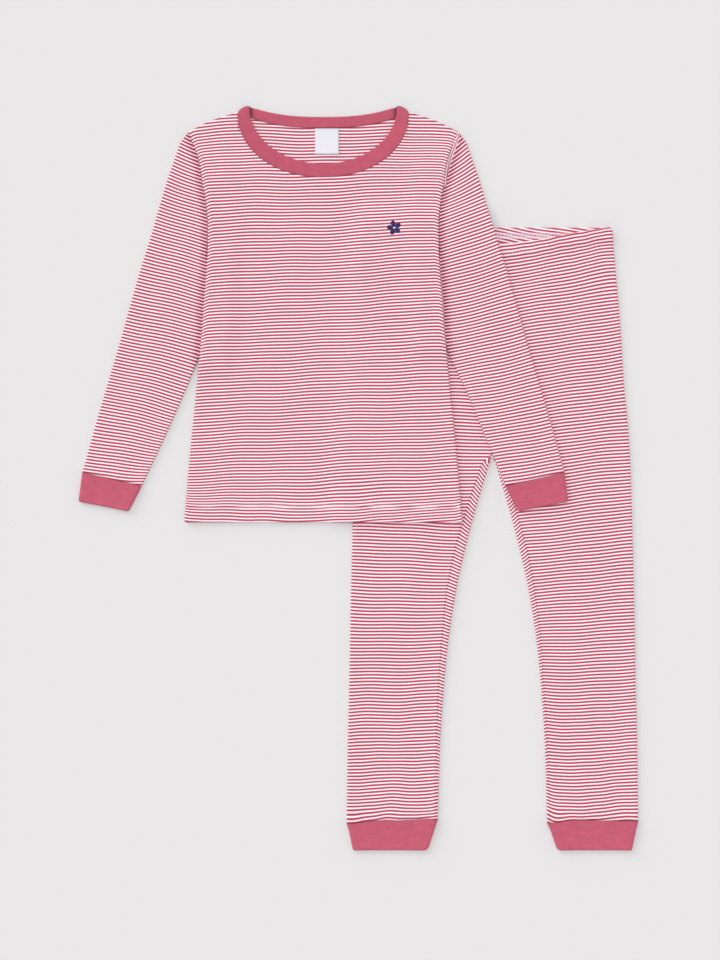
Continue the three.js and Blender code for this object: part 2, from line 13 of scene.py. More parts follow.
import bpy
import numpy as np
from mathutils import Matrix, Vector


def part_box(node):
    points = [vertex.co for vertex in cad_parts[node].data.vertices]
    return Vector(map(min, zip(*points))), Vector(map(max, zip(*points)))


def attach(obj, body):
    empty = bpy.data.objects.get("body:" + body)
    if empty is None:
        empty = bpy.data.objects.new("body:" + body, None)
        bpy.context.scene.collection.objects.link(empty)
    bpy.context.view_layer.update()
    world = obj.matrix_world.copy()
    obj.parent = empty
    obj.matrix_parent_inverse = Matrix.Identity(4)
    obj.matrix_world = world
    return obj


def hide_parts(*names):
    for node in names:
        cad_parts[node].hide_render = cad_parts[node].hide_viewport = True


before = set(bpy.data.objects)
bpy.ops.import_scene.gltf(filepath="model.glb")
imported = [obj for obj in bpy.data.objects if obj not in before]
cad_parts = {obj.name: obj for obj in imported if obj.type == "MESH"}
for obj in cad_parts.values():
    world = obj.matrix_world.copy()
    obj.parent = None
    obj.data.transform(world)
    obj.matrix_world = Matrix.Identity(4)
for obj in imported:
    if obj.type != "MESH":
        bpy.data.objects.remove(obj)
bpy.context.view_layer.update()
print("solids:", sorted(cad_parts))

# %% [markdown]
# ## The sizes
#
# A dressmaker keeps a measuring sheet for each garment, and so does this script. Lengths are in
# millimetres, because cloth is thin, and they become metres only where a mesh is made. "Down" is
# measured from the top of the neck, or from the waist of the trousers. Left and right are the
# wearer's, so side -1 is the right arm and leg.

# %% A helper for the measuring sheet
def table(columns, *rows):
    """The rows of a sheet, where the names of its columns are given once."""
    return [dict(zip(columns.split(), row)) for row in rows]


# %% Sizes of the cloth
MM = 0.001
SIDES = (("right", -1), ("left", 1))
CLOTH = 1.2
DOUBLED = 2.0
GAP = 0.3
SEAM_GAP = 0.1
BULGE = 0.9
SETTLE = 9.0
TURNED_STEP = 2.0
SEAM_FLAT = 3.0
CUFF_GAP = 0.15
MESH_STEP = 2.6
DEEPEST_TROUGH = -0.25

# %% Sizes of the top
TOP_LENGTH = 436.0
HEM_DEPTH = 18.0
TWIN_NEEDLE = 3.0
SHOULDER_TIP = 26.6
SHOULDER_NECK = {"half": 89.8, "down": 6.2}
SHOULDER_ROUND = 2.2
YOKE_DOWN = 98.0
FRONT_NECK = {"half": 89.8, "start": 6.2, "depth": 68, "power": 2.1}
FRONT_NECK_EDGE = {"half": 77.5, "start": 1, "depth": 59, "power": 2}
BACK_NECK = {"half": 89.8, "start": 6.2, "depth": 16, "power": 2.6}
BACK_NECK_EDGE = {"half": 77.5, "start": -0.3, "depth": 11, "power": 2.6}
NECK_RISE = 1.0
NECK_FADE = 0.06
SHOULDER_SHARE = 0.18
LABEL = {"left": -8.7, "right": 16.3, "length": 27, "thickness": 0.7}

BODY_SIDE = table(
    "down half",
    (26.6, 141.5), (42, 135.8), (60, 129.9), (80, 127), (98, 123.8), (124, 121.3), (146, 121.4),
    (172, 122.6), (202, 125.3), (231, 127), (266, 130.4), (314, 135.1), (367, 140.4), (415, 144.6),
    (436, 146.5),
)
SLEEVE_ROWS = table(
    "down under_right under_left fold fold_down",
    (26.6, -0.1, -0.1, 149.9, 37.8), (42, -0.1, -0.1, 153.3, 47.5), (60, -0.1, -0.1, 158, 60.5),
    (80, -0.1, -0.1, 163, 75), (98, -0.1, -0.1, 168.3, 92.4), (124, -0.1, -0.1, 173.8, 111.3),
    (158, -0.1, -0.1, 181.5, 138), (175, 8.5, 8.5, 186.8, 155), (194, 14.5, 13, 192.5, 173.3),
    (220, 14.5, 9.5, 199.5, 197.4), (243, 8, 2.5, 205.4, 218.4), (262, 0.5, -2.5, 210.3, 236.3),
    (296, -10.6, -15.6, 220.4, 270.9), (342, -26.2, -30.5, 234.7, 319.2),
    (398, -47.3, -47.8, 252.8, 383.8),
)
WRIST_CUFF = {"fold": 256.9, "fold_down": 414.2, "edge": 204, "edge_down": 424.5}
WRIST_CORNER = {"outer": 2.5, "inner": 3}
CURL = (30, 60)
SEAM_LIFT = 1.8
SLIP = (137, 156)
SLIP_WIDTH = 22
SLIP_END = {-1: 268, 1: 251}
SLIP_FADE = 22
SLEEVE_FULLNESS = 0.8

# %% Sizes of the trousers
LEG_LENGTH = 621.6
CASING_DEPTH = 11.0
WAIST_HALF = 126.0
FRONT_DROP = 17.0
FRONT_DROP_POWER = 1.5
DROP_FADE = 180.0
WAIST_LIFT = 0.6
WAIST_LIFT_DEPTH = 30.0
CROTCH = 237.0
CROTCH_ROUND = (227, 257)
LEG_ROWS = table(
    "down outer inner strip_right strip_left",
    (0, 125.5, 0, 0, 0), (43, 129, 0, 0, 0), (107, 134.4, 0, 0, 0), (163, 137.8, 0, 0, 0),
    (207, 142, 0, 0, 0), (237, 144, 0, 0, 0), (247, 144.6, 3.2, 7.4, 6.2), (307, 146.5, 21, 9.5, 6.6),
    (338, 147.3, 28.8, 10.5, 7.4), (377, 148.3, 37.5, 9.6, 6.2), (443, 149.5, 47.5, 6.4, 3.8),
    (494, 150.5, 52, 5.2, 2.6), (541, 151.7, 55, 3.4, 2.5), (622, 152.9, 57.4, 2.5, 2.5),
)
ANKLE_CUFF = {"down": 653, "outer": 146.4, "inner": 68}
ANKLE_CORNER = {"outer": 1.5, "inner": 4}
STRIP_START = 241.0
NARROWEST_STRIP = 2.5
GATHER_WIDTH = 9.0
GATHERS = table(
    "x lean length rise",
    (-92, -0.08, 90, 0.5), (-58, -0.12, 70, 0.4), (-24, -0.06, 110, 0.5), (18, 0.1, 95, 0.5),
    (47, 0.15, 150, 0.6), (79, 0.1, 75, 0.4), (103, 0.05, 120, 0.6),
)

# %% How the top lies over the trousers
OVER_TROUSERS = 2 * CLOTH + 2 * GAP + BULGE
OVER_WAIST = 2 * DOUBLED + 2 * GAP + BULGE + WAIST_LIFT
WAIST_REACH = (34, 66)
DRAPE_START = 6.0
DRAPE_WIDTH = 26.0

# %% [markdown]
# ## Where the two garments lie
#
# Nothing is fitted by eye: the hem of the top, the ankle cuffs and the outer sides of the legs are
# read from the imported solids, and every other place follows from them.

# %% Places of the top and of the trousers, from the solids
panel_low, panel_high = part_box("top_front")
TOP_X = (panel_low.x + panel_high.x) / 2 / MM
TOP_Y = panel_low.y / MM + TOP_LENGTH
leg_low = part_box("trouser_leg_right")[0]
leg_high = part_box("trouser_leg_left")[1]
ankle_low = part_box("ankle_cuff_left")[0]
TROUSERS_X = (leg_low.x + leg_high.x) / 2 / MM
TROUSERS_Y = ankle_low.y / MM + ANKLE_CUFF["down"]
TROUSERS_RIGHT = TROUSERS_X - TOP_X
TROUSERS_DOWN = TOP_Y - TROUSERS_Y
print("top at", round(TOP_X, 2), round(TOP_Y, 2))
print("trousers at", round(TROUSERS_X, 2), round(TROUSERS_Y, 2))

# %% [markdown]
# ## Reading the measuring sheet
#
# Each outline is a short table. A smooth curve through its rows gives the width at any depth. The
# curve is a monotone cubic: unlike a plain spline, it never swings out past its own points.

# %% Small helpers for numbers
def mix(a, b, share):
    return a + (b - a) * share


def rises(value, start, end):
    share = np.clip((value - start) / (end - start), 0, 1)
    return share * share * (3 - 2 * share)


def beside_fold(distance):
    return BULGE * np.exp(-((distance / SETTLE) ** 2))


def read(table, column, at, key="down"):
    """A column of a table at any depth."""
    keys = np.array([row[key] for row in table], float)
    values = np.array([row[column] for row in table], float)
    secants = np.diff(values) / np.diff(keys)
    before, after = secants[:-1], secants[1:]
    both = before + after
    inner = np.where(before * after > 0, 2 * before * after / np.where(both == 0, 1, both), 0)
    slopes = np.concatenate([secants[:1], inner, secants[-1:]])
    wanted = np.clip(at, keys[0], keys[-1])
    row = np.clip(np.searchsorted(keys, wanted, side="right") - 1, 0, len(keys) - 2)
    width = keys[row + 1] - keys[row]
    s = (wanted - keys[row]) / width
    line = values[row] * (1 + 2 * s) * (1 - s) ** 2 + values[row + 1] * s * s * (3 - 2 * s)
    bends = s * (1 - s) ** 2 * width * slopes[row] + s * s * (s - 1) * width * slopes[row + 1]
    return line + bends


def spread(marks, step):
    """Places from the first mark to the last, at most a step apart, with every mark among them."""
    places = [np.array(marks[:1], float)]
    for start, end in zip(marks[:-1], marks[1:]):
        count = max(1, math.ceil((end - start) / step))
        places.append(np.linspace(start, end, count + 1)[1:])
    return np.concatenate(places)


def corner_inset(radius, from_end):
    """What a rounded corner takes off the width, at a distance from the end of a piece."""
    inside = np.clip(radius - from_end, 0, radius)
    return radius - np.sqrt(radius**2 - inside**2)


def rounded_rim(distance, radius):
    """How thick a folded edge still is, as a share, at a distance from its end."""
    left = np.clip(1 - distance / radius, 0, 0.95)
    return np.sqrt(1 - left**2)

# %% [markdown]
# ## Making cloth
#
# Every piece of cloth is a grid of points in the middle of its thickness. The grid is moved half
# the thickness to both sides, and the borders are closed, so the result is a real thin shell and
# not a sheet of paper. The UV map doesn't hold a flat picture's place. It holds two counts that a
# knitter would know: the number of the rib across, and the number of the stripe along. A pattern
# on those counts follows the cloth round every fold. A second value, "shade", marks the places
# beside a seam where cloth lies in its own shadow.

# %% A thin shell from a grid of points
def add_object(name, data):
    thing = bpy.data.objects.new(name, data)
    bpy.context.scene.collection.objects.link(thing)
    return thing


def facings(points, closed):
    down = np.gradient(points, axis=0)
    if closed:
        right = np.roll(points, -1, axis=1) - np.roll(points, 1, axis=1)
    else:
        right = np.gradient(points, axis=1)
    normals = np.cross(down, right)
    return normals / (np.linalg.norm(normals, axis=2, keepdims=True) + 1e-12)


def cloth_area(points, closed=False):
    """Area of the middle of the cloth in square metres: the size it is cut to, without seams."""
    if closed:
        points = np.concatenate([points, points[:, :1]], axis=1)
    first = np.cross(points[1:, :-1] - points[:-1, :-1], points[:-1, 1:] - points[:-1, :-1])
    second = np.cross(points[:-1, 1:] - points[1:, 1:], points[1:, :-1] - points[1:, 1:])
    area = np.linalg.norm(first, axis=2).sum() + np.linalg.norm(second, axis=2).sum()
    return area / 2 * MM * MM


def cut_size(points, closed, level=0):
    """The longest way across the cloth from row "level" on, and the longest way down, in metres."""
    ring = np.concatenate([points, points[:, :1]], axis=1) if closed else points[level:]
    across = np.linalg.norm(np.diff(ring, axis=1), axis=2).sum(axis=1).max()
    down = np.linalg.norm(np.diff(points, axis=0), axis=2).sum(axis=0).max()
    return across * MM, down * MM


def make_cloth(name, points, thickness, ribs, stripes, material, shade=0.0, closed=False):
    """The shell, as an object at the origin. With "closed", the last column meets the first."""
    rows, columns = points.shape[:2]
    half = facings(points, closed) * (np.broadcast_to(thickness, (rows, columns)) / 2)[..., None]
    skins = np.concatenate([(points + half).reshape(-1, 3), (points - half).reshape(-1, 3)]) * MM
    upper = np.arange(rows * columns).reshape(rows, columns)
    across = np.broadcast_to(ribs, (rows, ribs.shape[-1]))
    uv = np.stack([across, np.broadcast_to(stripes, across.shape)], axis=2)
    if closed:
        upper = np.concatenate([upper, upper[:, :1]], axis=1)
    lower = upper + rows * columns
    quads, quad_uvs = [], []

    def add_quads(*corners):
        quads.append(np.stack([index[place] for index, place in corners], axis=-1).reshape(-1, 4))
        quad_uvs.append(np.stack([uv[place] for _, place in corners], axis=-2).reshape(-1, 4, 2))

    here, below = np.s_[:-1, :-1], np.s_[1:, :-1]
    aside, across_from = np.s_[:-1, 1:], np.s_[1:, 1:]
    add_quads((upper, here), (upper, below), (upper, across_from), (upper, aside))
    add_quads((lower, here), (lower, aside), (lower, across_from), (lower, below))
    if not closed:
        first, next_first = np.s_[:-1, 0], np.s_[1:, 0]
        last, next_last = np.s_[:-1, -1], np.s_[1:, -1]
        add_quads((upper, first), (lower, first), (lower, next_first), (upper, next_first))
        add_quads((upper, last), (upper, next_last), (lower, next_last), (lower, last))
    head, next_head = np.s_[0, :-1], np.s_[0, 1:]
    foot, next_foot = np.s_[-1, :-1], np.s_[-1, 1:]
    add_quads((upper, head), (upper, next_head), (lower, next_head), (lower, head))
    add_quads((upper, foot), (lower, foot), (lower, next_foot), (upper, next_foot))

    mesh = bpy.data.meshes.new(name)
    mesh.from_pydata(skins.tolist(), [], np.concatenate(quads).tolist())
    layer = mesh.uv_layers.new(name="cloth")
    layer.data.foreach_set("uv", np.concatenate(quad_uvs).astype(np.float32).ravel())
    shades = np.broadcast_to(shade, (rows, columns)).astype(np.float32).ravel()
    attribute = mesh.attributes.new("shade", "FLOAT", "POINT")
    attribute.data.foreach_set("value", np.concatenate([shades, shades]))
    mesh.shade_smooth()
    mesh.materials.append(material)
    piece = add_object(name, mesh)
    print(name, len(mesh.polygons) * 2, "triangles,", round(cloth_area(points, closed), 4), "m2")
    return piece

# %% [markdown]
# ## Creases
#
# Cloth that was folded away and then smoothed out by hand keeps a few soft lines. Each is listed as
# a low ridge, or a trough where the height is negative. It fades towards both of its ends, and no
# two are alike in length, depth or spacing. "turn" is in degrees from straight down, and "bend" is
# how far the middle of the line stands aside from its ends.

# %% Soft ridges and troughs
TOP_CREASES = table(
    "x down length turn bend width height",
    (-92, 205, 150, 20, 6, 9, 0.55), (-70, 262, 190, 14, -9, 12, -0.4),
    (-103, 330, 120, -5, 4, 8, 0.45), (94, 190, 120, -24, -6, 9, 0.6),
    (66, 250, 210, -12, 10, 13, -0.4), (104, 300, 140, 4, -4, 8, 0.4), (-34, 160, 170, 7, 7, 14, 0.35),
    (22, 222, 230, -4, -8, 15, 0.3), (-26, 372, 110, -6, 4, 10, 0.5), (33, 392, 90, 5, -3, 9, -0.45),
    (84, 385, 100, 9, 5, 10, 0.5), (-78, 398, 80, -9, 3, 9, -0.4), (-108, 70, 80, 48, 4, 7, 0.4),
    (106, 74, 86, -52, -5, 7, 0.45),
)
LEG_CREASES = table(
    "x down length turn bend width height",
    (92, 190, 230, -4, 8, 11, 0.4), (124, 262, 180, 3, -4, 7, -0.35), (66, 232, 130, -28, 6, 10, 0.5),
    (80, 330, 150, -9, -6, 9, 0.45), (118, 404, 210, -2, 5, 9, 0.35), (84, 452, 120, -12, 5, 8, -0.4),
    (103, 520, 140, 5, -5, 9, 0.45), (128, 566, 100, 0, 3, 7, -0.3), (76, 590, 60, -6, 2, 6, 0.5),
    (96, 602, 38, 3, 1, 5, 0.45), (117, 598, 48, 5, -1, 5, 0.4), (138, 604, 36, 4, 1, 5, 0.35),
)


def creases(table, x, down):
    height = np.zeros(np.broadcast(x, down).shape)
    for fold in table:
        turn = math.radians(fold["turn"])
        right, below = x - fold["x"], down - fold["down"]
        reach = (below * math.cos(turn) - right * math.sin(turn)) / (fold["length"] / 2)
        fades = np.clip(1 - reach**2, 0, 1) ** 2
        aside = right * math.cos(turn) + below * math.sin(turn) - fold["bend"] * (1 - reach**2)
        height += fold["height"] * fades * np.exp(-((aside / fold["width"]) ** 2))
    return height


def unevenness(x, down):
    """Knitted cloth never lies quite flat: slow swells of about a tenth of a millimetre."""
    first = np.sin(x / 13.0 + 1.7 * np.sin(down / 61.0))
    second = np.sin(down / 19.0 + 1.3 * np.sin(x / 37.0) + 0.8)
    third = np.sin(x / 29.0 - down / 23.0 + 2.1)
    return 0.05 * first + 0.04 * second + 0.06 * third

# %% [markdown]
# ## How the stripes run
#
# The stripes are knitted in, so they show every pull on the cloth. Each table below says how far
# they tilt, in degrees, at a few places across a piece and a few depths. A positive number falls
# to the right as seen from above. From the tilt the script works out the number of the stripe at
# any spot, and keeps the distance between two stripes the same whichever way they run.

# %% Tilts of the stripes
RIB = 1.25
BODY_PITCH = 3.36
SLEEVE_PITCH = 3.45
LEG_PITCH = 3.5
FRONT_TILTS = table(
    "down a b c d e",
    (30, -5, -3, 0, 2, 4), (90, -4, 0, -2, -4, 1), (150, -4, -1, -2, -4, -3), (210, -5, -1, -3, -4, -2),
    (270, -5, -1.5, -3, -2.5, -1), (330, -4, -2.3, -3, -1.4, -2.5), (390, -4, -0.3, -4, -2, -2.5),
    (425, 1.5, 2.5, -4, -5, -5),
)
BACK_TILTS = table(
    "down a b c d e",
    (30, 4, 3, 0, -4, -6), (120, 3, 2, 0, -3, -4), (280, 2, 1, 0, -1, -2), (436, 1, 1, 0, 0, 0),
)
SLEEVE_TILTS = {
    -1: table(
        "down outer middle inner",
        (40, 24, 24, 24), (66, 21, 22, 22), (108, 16.8, 16.5, 16.3), (150, 14.5, 15.5, 16),
        (192, 12.6, 14.6, 16.5), (234, 10.5, 13, 16), (276, 9.4, 11.7, 21), (318, 9.2, 12.4, 18),
        (360, 7.2, 10.5, 8), (395, 6, 12.5, -7),
    ),
    1: table(
        "down inner middle outer",
        (40, -44, -40, -38), (66, -32, -31, -31), (108, -18.4, -20, -22.5), (150, -15.5, -16.5, -18),
        (192, -12.4, -14, -16), (234, -10, -12.5, -14.6), (276, -12, -11.5, -13.7),
        (318, -7.7, -10.5, -12.8), (360, -8.9, -9.5, -8.4), (395, -11, -10, -8),
    ),
}
LEG_TILTS = {
    -1: table(
        "down outer middle inner",
        (0, 0, -3, 3), (200, 1, 1, 2), (333, 2.2, 2.6, 2), (370, 2.3, 2.3, 0), (443, -0.8, 0.6, -2.3),
        (516, -1.5, -1.2, -5), (590, -4, 0, -4.5), (615, -4, 0.6, -3),
    ),
    1: table(
        "down inner middle outer",
        (10, -6, -12, -9), (39, -7, -13, -10), (75, -8, -9.7, -8.5), (149, -9.4, -8.6, -9),
        (222, -4.5, -7.2, -6), (296, -7, -7, -5), (370, -6, -5.4, -3.5), (443, 2, -4.8, -4),
        (516, 9, -4.6, -5), (590, 8, -5, -4),
    ),
}
INSIDE_WAIST_SLANT = 0.34


def stripe_numbers(tilts, pitch, left, right, x, down, phase=0.0):
    """The number of the stripe at each spot. left and right give the sides of the piece."""
    columns = [name for name in tilts[0] if name != "down"]
    step = 1 / (len(columns) - 1)

    def turned(share, depth):
        total = 0
        for number, (start, end) in enumerate(zip(columns[:-1], columns[1:])):
            a = np.sin(np.radians(read(tilts, start, depth)))
            b = np.sin(np.radians(read(tilts, end, depth)))
            part = np.clip(share - number * step, 0, step)
            total = total + a * part + (b - a) * part**2 / (2 * step)
        return total

    depths = np.arange(down.min() - 2, down.max() + 3, 1.0)
    centre = (left(depths) + right(depths)) / 2
    halfway = (len(columns) - 1) / 2
    nearest = [columns[math.floor(halfway)], columns[math.ceil(halfway)]]
    tilt = np.radians(sum(read(tilts, name, depths) for name in nearest) / 2)
    pace = np.cos(tilt) - np.sin(tilt) * np.gradient(centre, depths)
    reached = np.cumsum(pace) + depths[0]
    width = right(down) - left(down)
    share = (x - left(down)) / width
    waver = 0.28 * np.sin(x / 9.0 + down / 31.0) + 0.4 * np.sin(x / 19.0 - down / 47.0 + 1.0)
    turn = width * (turned(share, down) - turned(0.5, down))
    return (np.interp(down, depths, reached) - turn + waver) / pitch + phase

# %% [markdown]
# ## Colour and knit
#
# The cloth is a fine 1 x 1 rib: columns of plain stitches with a narrow furrow between them. A
# pale and a raspberry yarn take turns, about a millimetre and a half each. Both looks come from
# one node group that turns the two counts of the UV map into the height of the knit and a slow
# change of tone from yarn to yarn. It gives out values only, so each material keeps its own
# shader and sets its own sheen, which is what makes brushed cotton look soft at a low angle.

# %% Helpers for node trees
def paint(red, green, blue):
    """A colour as a paint chart gives it, 0 to 255, turned into the linear light of the shader."""
    parts = [part / 255 for part in (red, green, blue)]
    linear = [p / 12.92 if p <= 0.04045 else ((p + 0.055) / 1.055) ** 2.4 for p in parts]
    return (*linear, 1.0)


def plug(tree, socket, value):
    if isinstance(value, bpy.types.NodeSocket):
        tree.links.new(value, socket)
    else:
        socket.default_value = value


def maths(tree, operation, *values):
    node = tree.nodes.new("ShaderNodeMath")
    node.operation = operation
    for socket, value in zip(node.inputs, values):
        plug(tree, socket, value)
    return node.outputs[0]


def remap(tree, value, low, high, new_low=0.0, new_high=1.0):
    """Goes softly from new_low to new_high as value goes from low to high."""
    node = tree.nodes.new("ShaderNodeMapRange")
    node.interpolation_type = "SMOOTHSTEP"
    for name, amount in (("Value", value), ("From Min", low), ("From Max", high)):
        plug(tree, node.inputs[name], amount)
    plug(tree, node.inputs["To Min"], new_low)
    plug(tree, node.inputs["To Max"], new_high)
    return node.outputs["Result"]


def blend_colours(tree, share, first, second, kind="MIX"):
    node = tree.nodes.new("ShaderNodeMix")
    node.data_type = "RGBA"
    node.blend_type = kind
    plug(tree, node.inputs[0], share)
    plug(tree, node.inputs[6], first)
    plug(tree, node.inputs[7], second)
    return node.outputs[2]


def noise(tree, place, scale, detail=2.0):
    node = tree.nodes.new("ShaderNodeTexNoise")
    plug(tree, node.inputs["Vector"], place)
    node.inputs["Scale"].default_value = scale
    node.inputs["Detail"].default_value = detail
    return node.outputs["Fac"]


def new_group(name, inputs, outputs):
    group = bpy.data.node_groups.new(name, "ShaderNodeTree")
    for title, amount in inputs.items():
        socket = group.interface.new_socket(title, in_out="INPUT", socket_type="NodeSocketFloat")
        socket.default_value = amount
    for title in outputs:
        group.interface.new_socket(title, in_out="OUTPUT", socket_type="NodeSocketFloat")
    return group, group.nodes.new("NodeGroupInput").outputs, group.nodes.new("NodeGroupOutput").inputs

# %% The knit, as a group with named values
def make_knit_group():
    inputs = {"Ribs": 0.0, "Courses": 0.0, "Rib depth": 1.0, "Stitch depth": 0.4, "Unevenness": 0.5}
    group, given, out = new_group("Rib knit", inputs, ["Height", "Tone", "Rib"])
    rib = maths(group, "ABSOLUTE", maths(group, "SINE", maths(group, "MULTIPLY", given["Ribs"], math.pi)))
    rounded = maths(group, "POWER", rib, 0.6)
    wave = maths(group, "SINE", maths(group, "MULTIPLY", given["Courses"], 2 * math.pi))
    stitch = maths(group, "MULTIPLY", maths(group, "MULTIPLY", wave, rib), given["Stitch depth"])
    combine = group.nodes.new("ShaderNodeCombineXYZ")
    plug(group, combine.inputs["X"], maths(group, "MULTIPLY", given["Ribs"], 0.35))
    plug(group, combine.inputs["Y"], given["Courses"])
    yarn = noise(group, combine.outputs[0], 0.6)
    broad = noise(group, combine.outputs[0], 0.045, 3.0)
    lumps = maths(group, "MULTIPLY", yarn, given["Unevenness"])
    relief = maths(group, "MULTIPLY", rounded, given["Rib depth"])
    plug(group, out["Height"], maths(group, "ADD", maths(group, "ADD", relief, stitch), lumps))
    plug(group, out["Rib"], rounded)
    both = maths(group, "ADD", maths(group, "MULTIPLY", yarn, 0.5), maths(group, "MULTIPLY", broad, 0.5))
    plug(group, out["Tone"], maths(group, "SUBTRACT", both, 0.5))
    return group


knit_group = make_knit_group()

# %% Materials of the cloth
STRIPE_SHARE = 0.567
STRIPE_SOFT = {"near": 0.03, "far": 0.15}
RASPBERRY_STRIPE = paint(180, 73, 89)
FUZZY_EDGE = paint(252, 166, 195)
PALE_STRIPE = paint(255, 252, 255)
# The stripe colours in painted shade, used where the mesh marks shade beside seams and edges.
PAINTED_SHADE = {"raspberry": paint(126, 34, 56), "edge": paint(190, 100, 126), "pale": paint(241, 194, 208)}
RASPBERRY_CUFF = paint(198, 92, 114)
RASPBERRY_NECK = paint(194, 88, 110)
COURSES_PER_STRIPE = 4.0
MOTTLE = {"scale": 0.22, "share": 0.45}


def new_material(name, rough, sheen):
    material = bpy.data.materials.new(name)
    material.use_nodes = True
    shader = material.node_tree.nodes["Principled BSDF"]
    shader.inputs["Roughness"].default_value = rough
    shader.inputs["Sheen Weight"].default_value = sheen
    shader.inputs["Sheen Roughness"].default_value = 0.45
    shader.inputs["Specular IOR Level"].default_value = 0.25
    return material, material.node_tree, shader


def knit_counts(tree):
    uv = tree.nodes.new("ShaderNodeUVMap")
    uv.uv_map = "cloth"
    parts = tree.nodes.new("ShaderNodeSeparateXYZ")
    tree.links.new(uv.outputs[0], parts.inputs[0])
    return parts.outputs["X"], parts.outputs["Y"]


def place_knit(tree, ribs, courses, **values):
    node = tree.nodes.new("ShaderNodeGroup")
    node.node_tree = knit_group
    plug(tree, node.inputs["Ribs"], ribs)
    plug(tree, node.inputs["Courses"], courses)
    for name, amount in values.items():
        node.inputs[name.replace("_", " ")].default_value = amount
    return node.outputs["Height"], node.outputs["Tone"], node.outputs["Rib"]


def shaded(tree, colour, deeper):
    """A colour that turns into a deeper one as painted shade, where the mesh says so."""
    shade = tree.nodes.new("ShaderNodeAttribute")
    shade.attribute_name = "shade"
    return blend_colours(tree, shade.outputs["Fac"], colour, deeper)


def finish_cloth(tree, shader, colour, height, tone, tone_share, bump_mm):
    """Adds the yarn's tone, with painted shade in the rib furrows of a band, and the relief of the knit."""
    brighter = maths(tree, "ADD", maths(tree, "MULTIPLY", tone, tone_share), 1.0)
    grey = tree.nodes.new("ShaderNodeCombineColor")
    for socket in grey.inputs:
        plug(tree, socket, brighter)
    plug(tree, shader.inputs["Base Color"], blend_colours(tree, 1.0, colour, grey.outputs[0], "MULTIPLY"))
    bump = tree.nodes.new("ShaderNodeBump")
    bump.inputs["Strength"].default_value = 0.6
    bump.inputs["Distance"].default_value = bump_mm * MM
    plug(tree, bump.inputs["Height"], height)
    plug(tree, shader.inputs["Normal"], bump.outputs["Normal"])


def make_striped_material():
    material, tree, shader = new_material("striped rib knit", 0.85, 0.25)
    ribs, stripes = knit_counts(tree)
    courses = maths(tree, "MULTIPLY", stripes, COURSES_PER_STRIPE)
    height, tone, _ = place_knit(tree, ribs, courses, Rib_depth=1.0, Stitch_depth=0.3)
    nudge = maths(tree, "MULTIPLY", maths(tree, "SINE", maths(tree, "MULTIPLY", ribs, 2 * math.pi)), 0.025)
    place = maths(tree, "FRACT", maths(tree, "ADD", stripes, nudge))
    aside = maths(tree, "MULTIPLY", maths(tree, "ABSOLUTE", maths(tree, "SUBTRACT", place, 0.5)), 2.0)
    fuzz = remap(tree, aside, STRIPE_SHARE - STRIPE_SOFT["far"], STRIPE_SHARE - STRIPE_SOFT["near"])
    pale = remap(tree, aside, STRIPE_SHARE + STRIPE_SOFT["near"], STRIPE_SHARE + STRIPE_SOFT["far"])
    raspberry = shaded(tree, RASPBERRY_STRIPE, PAINTED_SHADE["raspberry"])
    edge = shaded(tree, FUZZY_EDGE, PAINTED_SHADE["edge"])
    white = shaded(tree, PALE_STRIPE, PAINTED_SHADE["pale"])
    colour = blend_colours(tree, pale, blend_colours(tree, fuzz, raspberry, edge), white)
    finish_cloth(tree, shader, colour, height, tone, 0.16, 0.22)
    return material


def make_band_material(name, colour, furrow_shade_share):
    material, tree, shader = new_material(name, 0.85, 0.3)
    ribs, courses = knit_counts(tree)
    height, tone, rib = place_knit(tree, ribs, courses, Rib_depth=1.0, Stitch_depth=0.25)
    # Painted shade: the tone is made darker in the furrows between the ribs.
    furrow_shade = maths(tree, "MULTIPLY", maths(tree, "SUBTRACT", rib, 0.8), furrow_shade_share)
    place = tree.nodes.new("ShaderNodeCombineXYZ")
    plug(tree, place.inputs["X"], ribs)
    plug(tree, place.inputs["Y"], courses)
    mottle = maths(tree, "SUBTRACT", noise(tree, place.outputs[0], MOTTLE["scale"], 3.0), 0.5)
    tone = maths(tree, "ADD", tone, furrow_shade)
    tone = maths(tree, "ADD", tone, maths(tree, "MULTIPLY", mottle, MOTTLE["share"]))
    colour = shaded(tree, colour, paint(98, 30, 44))
    finish_cloth(tree, shader, colour, height, tone, 0.6, 0.3)
    return material


striped_knit = make_striped_material()
cuff_knit = make_band_material("raspberry rib cuff", RASPBERRY_CUFF, 0.12)
neck_knit = make_band_material("raspberry rib neckband", RASPBERRY_NECK, 0.5)

# %% [markdown]
# ## The body of the top
#
# Front and back are cut alike, apart from the neck. Each row of the grid runs from side to side:
# straight across below the yoke line, and above it blending up to the shoulders and the neck. At
# the sides both panels curl towards each other, and their margin rides up over the sleeves.

# %% Heights under the top
def outer_at(down):
    return read(LEG_ROWS, "outer", down)


def inner_at(down):
    return read(LEG_ROWS, "inner", down)


def side_at(down):
    return read(BODY_SIDE, "half", down)


def sleeve_fold_at(down):
    return read(SLEEVE_ROWS, "fold", down, key="fold_down")


def both_sides(outer, inner, side):
    """The left and the right side of a folded piece, each giving x at a depth."""
    ends = (lambda down: side * outer(down), lambda down: side * inner(down))
    return ends if side < 0 else ends[::-1]


def under_at(down, side):
    return read(SLEEVE_ROWS, "under_right" if side < 0 else "under_left", down)


def over_trousers(x, down):
    """How high the top lies at a spot, to clear the trousers."""
    across = np.abs(x - TROUSERS_RIGHT)
    below = down - TROUSERS_DOWN
    beside = np.maximum(0, across - outer_at(np.maximum(below, 0)))
    outside = np.hypot(beside, np.maximum(0, -below))
    waist = 1 - rises(below, *WAIST_REACH)
    stands = 1 - rises(outside, DRAPE_START, DRAPE_START + DRAPE_WIDTH)
    return mix(OVER_TROUSERS, OVER_WAIST, waist) * stands


